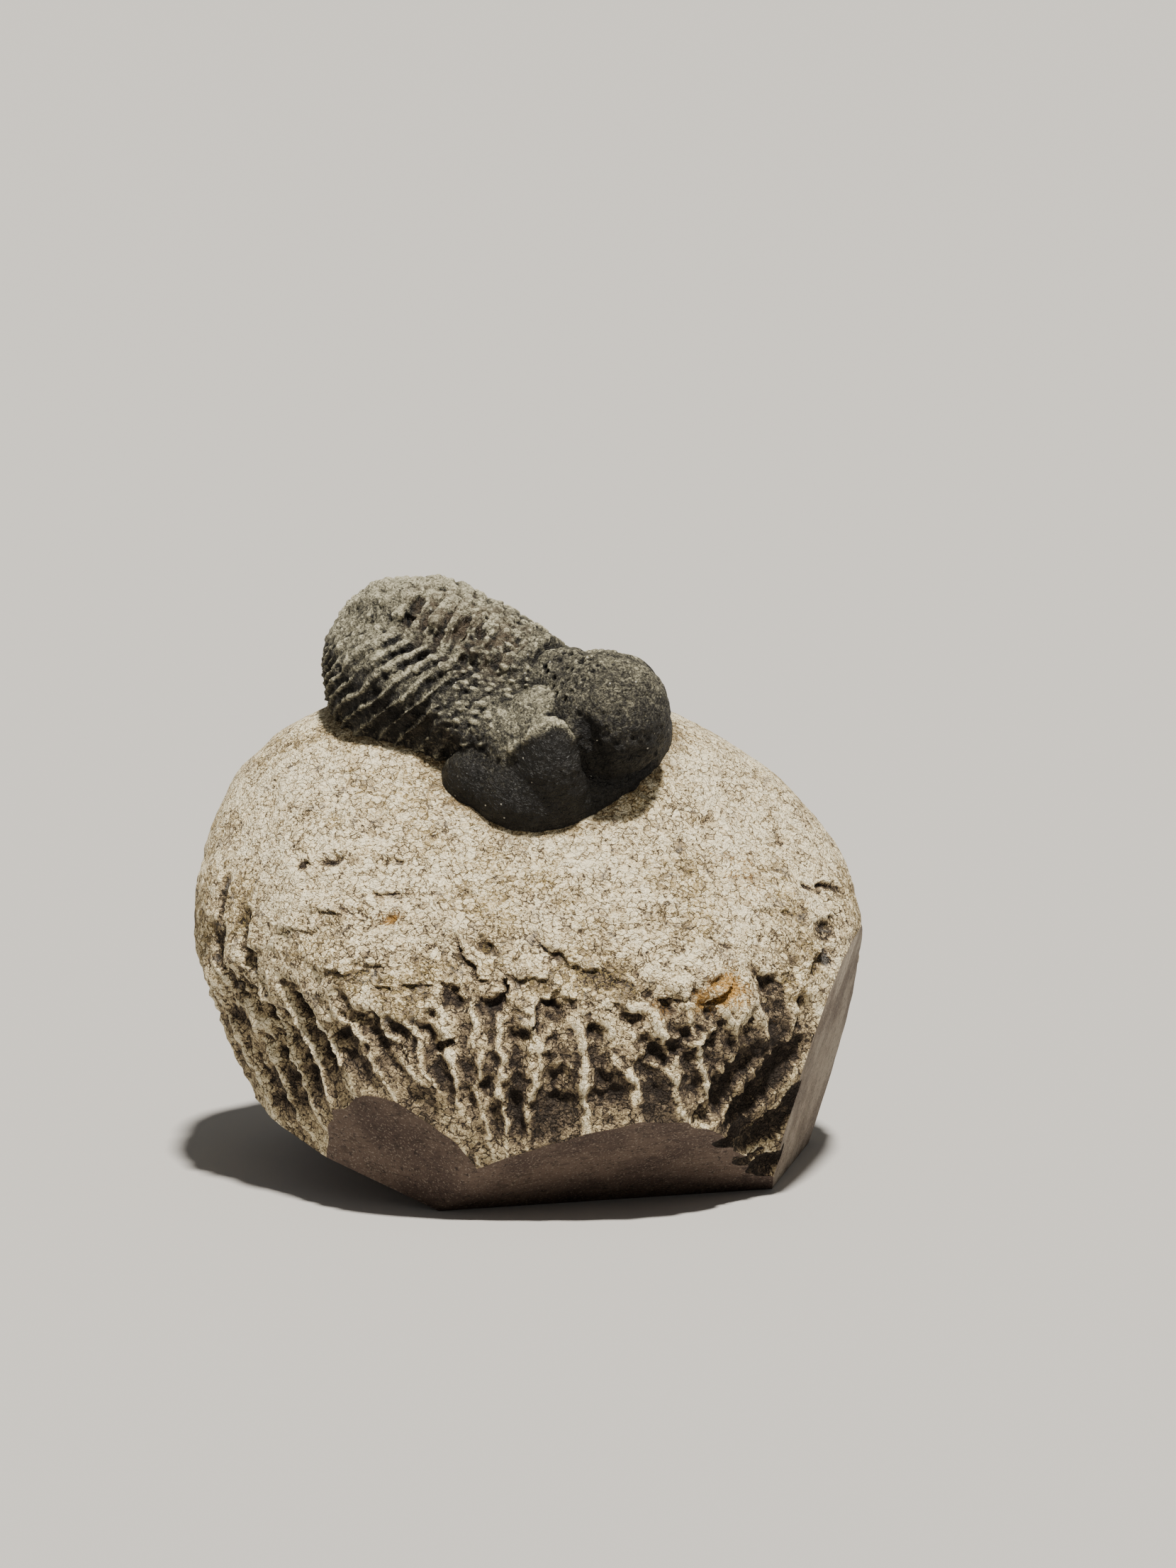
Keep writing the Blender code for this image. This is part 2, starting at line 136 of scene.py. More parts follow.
class Noise:
    """Seeded noise, worked out for all of a mesh's places at once."""

    def __init__(self, seed: int) -> None:
        """Draw the tables.

        Args:
            seed: Which set of tables to draw.
        """
        dice = np.random.default_rng(seed)
        self.table = np.tile(dice.permutation(256), 3)
        self.ways = unit(dice.normal(size=(256, 3)))
        self.spots = dice.random((256, 3))

    def draw(self, corner: Array) -> Array:
        """Pick a table row for each corner of the lattice."""
        column, row, layer = (corner & 255).T
        return self.table[self.table[self.table[column] + row] + layer]

    def lumps(self, points: Array, size: float, seed: int = 0) -> Array:
        """Sample even noise.

        Args:
            points: Rows of places in millimetres.
            size: Width of one lump.
            seed: Which part of the pattern to take.

        Returns:
            Values between about -1 and 1.
        """
        place = points / size + seed * np.array((17.3, 5.7, 3.1))
        corner = np.floor(place).astype(np.int64)
        inside = place - corner
        fade = inside ** 3 * (inside * (inside * 6.0 - 15.0) + 10.0)
        total = np.zeros(len(points))
        for step in np.ndindex(2, 2, 2):
            near = np.array(step)
            slope = self.ways[self.draw(corner + near)]
            share = np.prod(np.where(near == 1, fade, 1.0 - fade), axis=1)
            total += share * np.sum(slope * (inside - near), axis=1)
        return np.clip(total * 1.8, -1.0, 1.0)

    def layers(self, points: Array, size: float, seed: int, count: int = 3) -> Array:
        """Sum finer and finer noise, each layer half as wide and half as strong."""
        return sum(self.lumps(points, size * 0.5 ** step, seed + step) * 0.55 ** step for step in range(count))

    def cells(self, points: Array, size: float, seed: int = 0) -> tuple[Array, Array]:
        """Sample a field of random cells.

        Args:
            points: Rows of places in millimetres.
            size: Typical width of a cell.
            seed: Which part of the pattern to take.

        Returns:
            Distance to the nearest cell's middle, in cells, and a random share per cell.
        """
        place = points / size + seed * np.array((11.9, 7.3, 13.7))
        corner = np.floor(place).astype(np.int64)
        near = np.full(len(points), 9.0)
        share = np.zeros(len(points))
        for step in np.ndindex(3, 3, 3):
            around = corner + np.array(step) - 1
            which = self.draw(around)
            away = np.linalg.norm(around + self.spots[which] - place, axis=1)
            closer = away < near
            near[closer] = away[closer]
            share[closer] = which[closer] / 255.0
        return near, share


NOISE = Noise(7)


def swell(points: Array, size: float, seed: int) -> Array:
    """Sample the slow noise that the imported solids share.

    Args:
        points: Rows of places in millimetres.
        size: Width of one swell.
        seed: Which pattern to take.

    Returns:
        Values between about -1 and 1.
    """
    shift = Vector((17.0, 5.0, 3.0)) * seed
    return np.array([noise.noise(Vector(place) / size + shift) for place in points])


def smoothed(values: Array, edges: Array, rounds: int) -> Array:
    """Spread values over a mesh's edges.

    Args:
        values: One value per vertex.
        edges: Pairs of vertex numbers.
        rounds: How many times to average.

    Returns:
        The averaged values.
    """
    count = len(values)
    ends = np.concatenate((edges[:, 0], edges[:, 1]))
    others = np.concatenate((edges[:, 1], edges[:, 0]))
    degree = np.bincount(ends, minlength=count)
    for _ in range(rounds):
        around = np.bincount(ends, weights=values[others], minlength=count) / degree
        values = 0.5 * values + 0.5 * around
    return values


def only(piece: bpy.types.Object) -> None:
    """Make a piece the only selected and the active object."""
    bpy.ops.object.select_all(action="DESELECT")
    piece.select_set(True)
    bpy.context.view_layer.objects.active = piece


def coordinates(mesh: bpy.types.Mesh) -> Array:
    """Read a mesh's vertices as rows."""
    flat = np.empty(len(mesh.vertices) * 3, dtype=np.float64)
    mesh.vertices.foreach_get("co", flat)
    return flat.reshape(-1, 3)


def place_vertices(mesh: bpy.types.Mesh, points: Array) -> None:
    """Write rows of places into a mesh's vertices."""
    mesh.vertices.foreach_set("co", points.astype(np.float32).ravel())
    mesh.update()


def vertex_normals(mesh: bpy.types.Mesh) -> Array:
    """Read a mesh's vertex normals as rows."""
    flat = np.empty(len(mesh.vertices) * 3, dtype=np.float32)
    mesh.vertex_normals.foreach_get("vector", flat)
    return flat.reshape(-1, 3).astype(float)


def mesh_edges(mesh: bpy.types.Mesh) -> Array:
    """Read a mesh's edges as pairs of vertex numbers."""
    flat = np.empty(len(mesh.edges) * 2, dtype=np.int32)
    mesh.edges.foreach_get("vertices", flat)
    return flat.reshape(-1, 2)


def keep_mask(mesh: bpy.types.Mesh, name: str, values: Array) -> None:
    """Store one share per vertex under a name that a finish reads."""
    layer = mesh.attributes.new(name, "FLOAT", "POINT")
    layer.data.foreach_set("value", np.clip(values, 0.0, 1.0).astype(np.float32))


class Graph:
    """A material's node tree, with short ways to add the nodes that stone needs."""

    def __init__(self, name: str) -> None:
        """Start a material.

        Args:
            name: The material's name.
        """
        self.material = bpy.data.materials.new(name)
        self.material.use_nodes = True
        self.tree = self.material.node_tree
        self.shader = self.tree.nodes["Principled BSDF"]
        self.place = self.tree.nodes.new("ShaderNodeTexCoord").outputs["Object"]

    def link(self, value: object, socket: bpy.types.NodeSocket) -> None:
        """Give a socket a value, or a link where the value is another socket."""
        if isinstance(value, bpy.types.NodeSocket):
            self.tree.links.new(value, socket)
        else:
            socket.default_value = value

    def calc(self, action: str, first: object, second: object = 0.0) -> bpy.types.NodeSocket:
        """Add a sum of two values.

        Args:
            action: Math operation.
            first: First value or socket.
            second: Second value or socket.

        Returns:
            The result's socket.
        """
        node = self.tree.nodes.new("ShaderNodeMath")
        node.operation = action
        self.link(first, node.inputs[0])
        self.link(second, node.inputs[1])
        return node.outputs[0]

    def fit(self, value: object, low: float, high: float,
            start: float = 0.0, end: float = 1.0) -> bpy.types.NodeSocket:
        """Map a value's range smoothly to another range.

        Args:
            value: Value or socket.
            low: Value that becomes start.
            high: Value that becomes end.
            start: Result at low.
            end: Result at high.

        Returns:
            The result's socket.
        """
        node = self.tree.nodes.new("ShaderNodeMapRange")
        node.interpolation_type = "SMOOTHSTEP"
        self.link(value, node.inputs["Value"])
        for name, number in zip(("From Min", "From Max", "To Min", "To Max"), (low, high, start, end)):
            node.inputs[name].default_value = number
        return node.outputs["Result"]

    def mix(self, share: object, first: object, second: object) -> bpy.types.NodeSocket:
        """Blend two colours.

        Args:
            share: 0 for the first colour, 1 for the second.
            first: Colour or socket.
            second: Colour or socket.

        Returns:
            The blended colour's socket.
        """
        node = self.tree.nodes.new("ShaderNodeMix")
        node.data_type = "RGBA"
        self.link(share, node.inputs[0])
        for socket, colour in ((node.inputs[6], first), (node.inputs[7], second)):
            self.link((*colour, 1.0) if isinstance(colour, tuple) else colour, socket)
        return node.outputs[2]

    def stretched(self, turn: Triple, scale: Triple) -> bpy.types.NodeSocket:
        """Turn and scale the place, for patterns with a direction.

        Args:
            turn: Angles about X, Y and Z in degrees.
            scale: Factors along the turned axes.

        Returns:
            The mapped place's socket.
        """
        node = self.tree.nodes.new("ShaderNodeMapping")
        self.link(self.place, node.inputs["Vector"])
        node.inputs["Rotation"].default_value = [math.radians(angle) for angle in turn]
        node.inputs["Scale"].default_value = scale
        return node.outputs["Vector"]

    def grain(self, size: float, detail: float = 3.0, rough: float = 0.6, warp: float = 0.0,
              place: Optional[bpy.types.NodeSocket] = None) -> bpy.types.NodeSocket:
        """Add cloudy noise.

        Args:
            size: Width of a cloud in millimetres.
            detail: Number of finer layers.
            rough: Strength of the finer layers.
            warp: How much the noise folds itself.
            place: Mapped place, if not the plain one.

        Returns:
            The noise's socket, around 0.5.
        """
        node = self.tree.nodes.new("ShaderNodeTexNoise")
        self.link(place or self.place, node.inputs["Vector"])
        node.inputs["Scale"].default_value = 1.0 / (size * MM)
        node.inputs["Detail"].default_value = detail
        node.inputs["Roughness"].default_value = rough
        node.inputs["Distortion"].default_value = warp
        return node.outputs[0]

    def warped(self, size: float, reach: float) -> bpy.types.NodeSocket:
        """Push the place about by noise, so that cells lose their straight sides.

        Args:
            size: Width of a wave in millimetres.
            reach: How far places move in millimetres.

        Returns:
            The pushed place's socket.
        """
        waves = self.tree.nodes.new("ShaderNodeTexNoise")
        self.link(self.place, waves.inputs["Vector"])
        waves.inputs["Scale"].default_value = 1.0 / (size * MM)
        move = self.tree.nodes.new("ShaderNodeVectorMath")
        move.operation = "MULTIPLY_ADD"
        self.link(waves.outputs["Color"], move.inputs[0])
        move.inputs[1].default_value = (reach * MM,) * 3
        self.link(self.place, move.inputs[2])
        return move.outputs["Vector"]

    def crystals(self, size: float, feature: Feature,
                 place: Optional[bpy.types.NodeSocket] = None) -> bpy.types.Node:
        """Add a pattern of cells.

        Args:
            size: Width of a cell in millimetres.
            feature: What the distance measures.
            place: Mapped place, if not the plain one.

        Returns:
            The cells' node, with its Distance and, for whole cells, a random Color.
        """
        node = self.tree.nodes.new("ShaderNodeTexVoronoi")
        node.feature = feature.value
        self.link(place or self.place, node.inputs["Vector"])
        node.inputs["Scale"].default_value = 1.0 / (size * MM)
        return node

    def shifted(self, value: object, pattern: bpy.types.NodeSocket, gain: float) -> bpy.types.NodeSocket:
        """Push a value up and down by a pattern that lies around 0.5."""
        return self.calc("ADD", value, self.calc("MULTIPLY", self.calc("SUBTRACT", pattern, 0.5), gain))

    def line(self, pattern: bpy.types.NodeSocket, level: float, width: float) -> bpy.types.NodeSocket:
        """Draw thin winding lines where a pattern passes a level."""
        away = self.calc("ABSOLUTE", self.calc("SUBTRACT", pattern, level))
        return self.fit(away, width, 0.0)

    def ladder(self, value: object, stops: Sequence[tuple[float, Triple]]) -> bpy.types.NodeSocket:
        """Turn a value into a colour.

        Args:
            value: Value or socket.
            stops: Values and the colours there, in order.

        Returns:
            The colour's socket.
        """
        node = self.tree.nodes.new("ShaderNodeValToRGB")
        self.link(value, node.inputs["Fac"])
        steps = node.color_ramp.elements
        for index, (place, colour) in enumerate(stops):
            step = steps[index] if index < 2 else steps.new(place)
            step.position = place
            step.color = (*colour, 1.0)
        return node.outputs["Color"]

    def mask(self, name: str) -> bpy.types.NodeSocket:
        """Read a piece's own mask."""
        node = self.tree.nodes.new("ShaderNodeAttribute")
        node.attribute_name = name
        return node.outputs["Fac"]

    def bump(self, height: bpy.types.NodeSocket, depth: float, strength: float = 1.0,
             under: Optional[bpy.types.NodeSocket] = None) -> bpy.types.NodeSocket:
        """Add fine relief.

        Args:
            height: Height pattern.
            depth: Relief depth in millimetres.
            strength: Share of the relief that shows.
            under: Normal of the relief below this one.

        Returns:
            The normal's socket.
        """
        node = self.tree.nodes.new("ShaderNodeBump")
        node.inputs["Strength"].default_value = strength
        node.inputs["Distance"].default_value = depth * MM
        self.link(height, node.inputs["Height"])
        if under is not None:
            self.link(under, node.inputs["Normal"])
        return node.outputs["Normal"]

    def dress(self, colour: bpy.types.NodeSocket, roughness: object,
              normal: bpy.types.NodeSocket) -> bpy.types.Material:
        """Finish the material.

        Args:
            colour: Base colour socket.
            roughness: Roughness value or socket.
            normal: Normal socket.

        Returns:
            The material.
        """
        self.link(colour, self.shader.inputs["Base Color"])
        self.link(roughness, self.shader.inputs["Roughness"])
        self.link(normal, self.shader.inputs["Normal"])
        return self.material


@dataclass(frozen=True)
class LimestoneFinish:
    """Pale granular limestone whose mix of cream and brown grains follows the tone mask, which also paints shade in
    hollows and chips and light on crests.
    """

    name: str = "limestone_scraped"
    # share of brown, and the colour there
    stops: tuple[tuple[float, Triple], ...] = (
        (0.00, (0.96, 0.855, 0.60)), (0.24, (0.80, 0.675, 0.42)), (0.42, (0.46, 0.355, 0.20)),
        (0.60, (0.19, 0.142, 0.088)), (0.78, (0.078, 0.057, 0.038)), (1.00, (0.027, 0.020, 0.015)),
    )
    grey: Triple = (0.42, 0.41, 0.38)
    straw: Triple = (0.50, 0.37, 0.15)
    rust: Triple = (0.44, 0.235, 0.055)
    earth: Triple = (0.21, 0.145, 0.068)

    def make(self) -> bpy.types.Material:
        """Build the material.

        Returns:
            The material, which reads the masks of the matrix stone.
        """
        graph = Graph(self.name)
        broad = graph.grain(8.0, 3.0, 0.6)
        middle = graph.grain(1.9, 3.0, 0.62, 0.6)
        fine = graph.grain(0.85, 2.0, 0.6, 1.6)
        dust = graph.grain(0.34, 2.0, 0.65, 0.6)
        bent = graph.warped(0.9, 1.1)
        seams = graph.crystals(0.85, Feature.EDGES, bent).outputs["Distance"]
        grains = graph.crystals(0.85, Feature.CELLS, bent).outputs["Color"]
        seam = graph.calc("MULTIPLY", graph.fit(seams, 0.10, 0.0), graph.fit(fine, 0.62, 0.42))
        squiggle = graph.line(fine, 0.5, 0.04)
        pale = graph.calc("SUBTRACT", 1.0, graph.mask("chisel"))
        mixed = graph.calc("MULTIPLY", squiggle, 0.24)
        for pattern, gain in ((broad, 0.75), (middle, 0.85), (dust, 1.25), (grains, 0.50)):
            mixed = graph.shifted(mixed, pattern, gain)
        mixed = graph.calc("MULTIPLY", mixed, graph.fit(pale, 0.0, 1.0, 0.62, 1.0))
        tone = graph.calc("ADD", graph.mask("tone"), mixed)
        tone = graph.calc("ADD", tone, graph.calc("MULTIPLY", seam, 0.46))
        colour = graph.ladder(tone, self.stops)
        grey = graph.calc("MULTIPLY", pale, graph.fit(middle, 0.56, 0.72, 0.0, 0.28))
        colour = graph.mix(grey, colour, self.grey)
        straw = graph.calc("MULTIPLY", graph.fit(broad, 0.46, 0.64), graph.fit(dust, 0.48, 0.62))
        straw = graph.calc("MULTIPLY", straw, pale)
        colour = graph.mix(graph.calc("MULTIPLY", straw, 0.5), colour, self.straw)
        stain = graph.shifted(graph.mask("stain"), middle, 0.9)
        stain = graph.shifted(stain, dust, 1.3)
        colour = graph.mix(graph.fit(stain, 0.25, 0.9, 0.0, 0.92), colour, self.rust)
        earthy = graph.shifted(graph.mask("earth"), middle, 1.2)
        earthy = graph.shifted(earthy, dust, 0.9)
        colour = graph.mix(graph.fit(earthy, 0.40, 1.1, 0.0, 0.75), colour, self.earth)
        relief = graph.calc("ADD", graph.calc("MULTIPLY", fine, 0.55), graph.calc("MULTIPLY", seam, -0.14))
        relief = graph.calc("ADD", relief, graph.calc("MULTIPLY", grains, 0.10))
        relief = graph.calc("ADD", relief, graph.calc("MULTIPLY", dust, 0.40))
        normal = graph.bump(relief, 1.15, 1.0)
        graph.shader.inputs["Specular IOR Level"].default_value = 0.2
        return graph.dress(colour, graph.fit(dust, 0.3, 0.7, 0.80, 0.96), normal)


@dataclass(frozen=True)
class SawnFinish:
    """Flat sawn limestone with fine parallel streaks from the blade."""

    name: str = "limestone_sawn"
    face: Triple = (0.30, 0.255, 0.20)
    shade: Triple = (0.165, 0.130, 0.10)
    streak: Triple = (0.075, 0.052, 0.042)
    chalk: Triple = (0.42, 0.37, 0.30)
    turn: Triple = (8.0, 14.0, 20.0)

    def make(self) -> bpy.types.Material:
        """Build the material.

        Returns:
            The material.
        """
        graph = Graph(self.name)
        along = graph.stretched(self.turn, (0.4, 0.8, 1.3))
        lines = graph.grain(0.8, 4.0, 0.7, 0.3, along)
        broad = graph.grain(7.0, 3.0, 0.55)
        fine = graph.grain(0.55, 3.0, 0.7)
        dust = graph.grain(0.25, 2.0, 0.6)
        colour = graph.mix(graph.fit(broad, 0.38, 0.62), self.shade, self.face)
        colour = graph.mix(graph.fit(lines, 0.48, 0.38, 0.0, 0.45), colour, self.streak)
        colour = graph.mix(graph.fit(fine, 0.43, 0.33, 0.0, 0.85), colour, self.streak)
        colour = graph.mix(graph.fit(dust, 0.56, 0.68, 0.0, 0.7), colour, self.chalk)
        normal = graph.bump(lines, 0.16, 0.7)
        normal = graph.bump(fine, 0.16, 0.9, normal)
        graph.shader.inputs["Specular IOR Level"].default_value = 0.2
        return graph.dress(colour, graph.fit(fine, 0.3, 0.7, 0.75, 0.94), normal)


@dataclass(frozen=True)
class ShellFinish:
    """Charcoal calcite shell: green-grey on its raised grains, brown in its furrows; its tone mask adds painted light
    on raised grains and up-facing skin and painted shade in furrows, hollows and undersides.
    """

    name: str = "fossil_charcoal"
    stops: tuple[tuple[float, Triple], ...] = (
        (0.00, (0.56, 0.52, 0.37)), (0.22, (0.26, 0.24, 0.165)), (0.45, (0.082, 0.076, 0.056)),
        (0.70, (0.020, 0.018, 0.015)), (1.00, (0.006, 0.0055, 0.005)),
    )
    # near-black of the smooth lower cheek and eye: partly their own dark gloss, partly painted shade
    shade_black: Triple = (0.011, 0.0105, 0.0095)
    brown: Triple = (0.105, 0.078, 0.050)
    dusty: Triple = (0.34, 0.29, 0.20)
    white: Triple = (0.66, 0.63, 0.55)

    def make(self) -> bpy.types.Material:
        """Build the material.

        Returns:
            The material, which reads the masks of the fossil.
        """
        graph = Graph(self.name)
        broad = graph.grain(5.0, 3.0, 0.6)
        middle = graph.grain(1.4, 3.0, 0.65, 0.5)
        fine = graph.grain(0.55, 3.0, 0.65, 1.0)
        dust = graph.grain(0.26, 2.0, 0.6)
        spots = graph.crystals(1.3, Feature.CELLS).outputs["Distance"]
        smooth_and_shaded = graph.mask("smooth_and_shaded")
        tone = graph.mask("tone")
        for pattern, gain in ((broad, 0.30), (middle, 0.60), (fine, 1.0), (dust, 1.0)):
            tone = graph.shifted(tone, pattern, gain)
        colour = graph.ladder(tone, self.stops)
        worn = graph.calc("MULTIPLY", graph.mask("worn"), graph.fit(middle, 0.40, 0.60))
        colour = graph.mix(graph.calc("MULTIPLY", worn, 0.75), colour, self.brown)
        colour = graph.mix(graph.fit(graph.shifted(graph.mask("dusty"), fine, 1.6), 0.5, 1.1, 0.0, 0.7),
                           colour, self.dusty)
        # the smooth lower cheek and eye go towards near-black: partly their own dark gloss, partly painted shade
        underside_shade = graph.calc("MULTIPLY", smooth_and_shaded, graph.fit(middle, 0.40, 0.62, 0.92, 0.55))
        colour = graph.mix(underside_shade, colour, self.shade_black)
        flecks = graph.calc("MULTIPLY", graph.fit(spots, 0.10, 0.06), graph.fit(broad, 0.48, 0.56))
        colour = graph.mix(graph.calc("MULTIPLY", flecks, 0.8), colour, self.white)
        relief = graph.calc("ADD", fine, graph.calc("MULTIPLY", dust, 0.35))
        relief = graph.calc("MULTIPLY", relief, graph.fit(smooth_and_shaded, 0.0, 1.0, 1.0, 0.30))
        normal = graph.bump(relief, 0.85, 1.0)
        graph.shader.inputs["Specular IOR Level"].default_value = 0.24
        return graph.dress(colour, graph.fit(smooth_and_shaded, 0.0, 1.0, 0.58, 0.38), normal)


@dataclass(frozen=True)
class PaperFinish:
    """Plain pale matt floor."""

    name: str = "pale_floor"
    colour: Triple = (0.47, 0.457, 0.437)

    def make(self) -> bpy.types.Material:
        """Build the material.

        Returns:
            The material.
        """
        material = bpy.data.materials.new(self.name)
        material.use_nodes = True
        shader = material.node_tree.nodes["Principled BSDF"]
        shader.inputs["Base Color"].default_value = (*self.colour, 1.0)
        shader.inputs["Roughness"].default_value = 0.9
        return material


@dataclass(frozen=True)
class Mark:
    """One tool mark or break on the stone, placed by its direction from the lump's middle."""

    kind: MarkKind
    azimuth: float
    elevation: float
    slant: float
    length: float
    width: float
    depth: float
    bend: float = 0.0


DENT, LEDGE, SCRATCH = MarkKind.DENT, MarkKind.LEDGE, MarkKind.SCRATCH


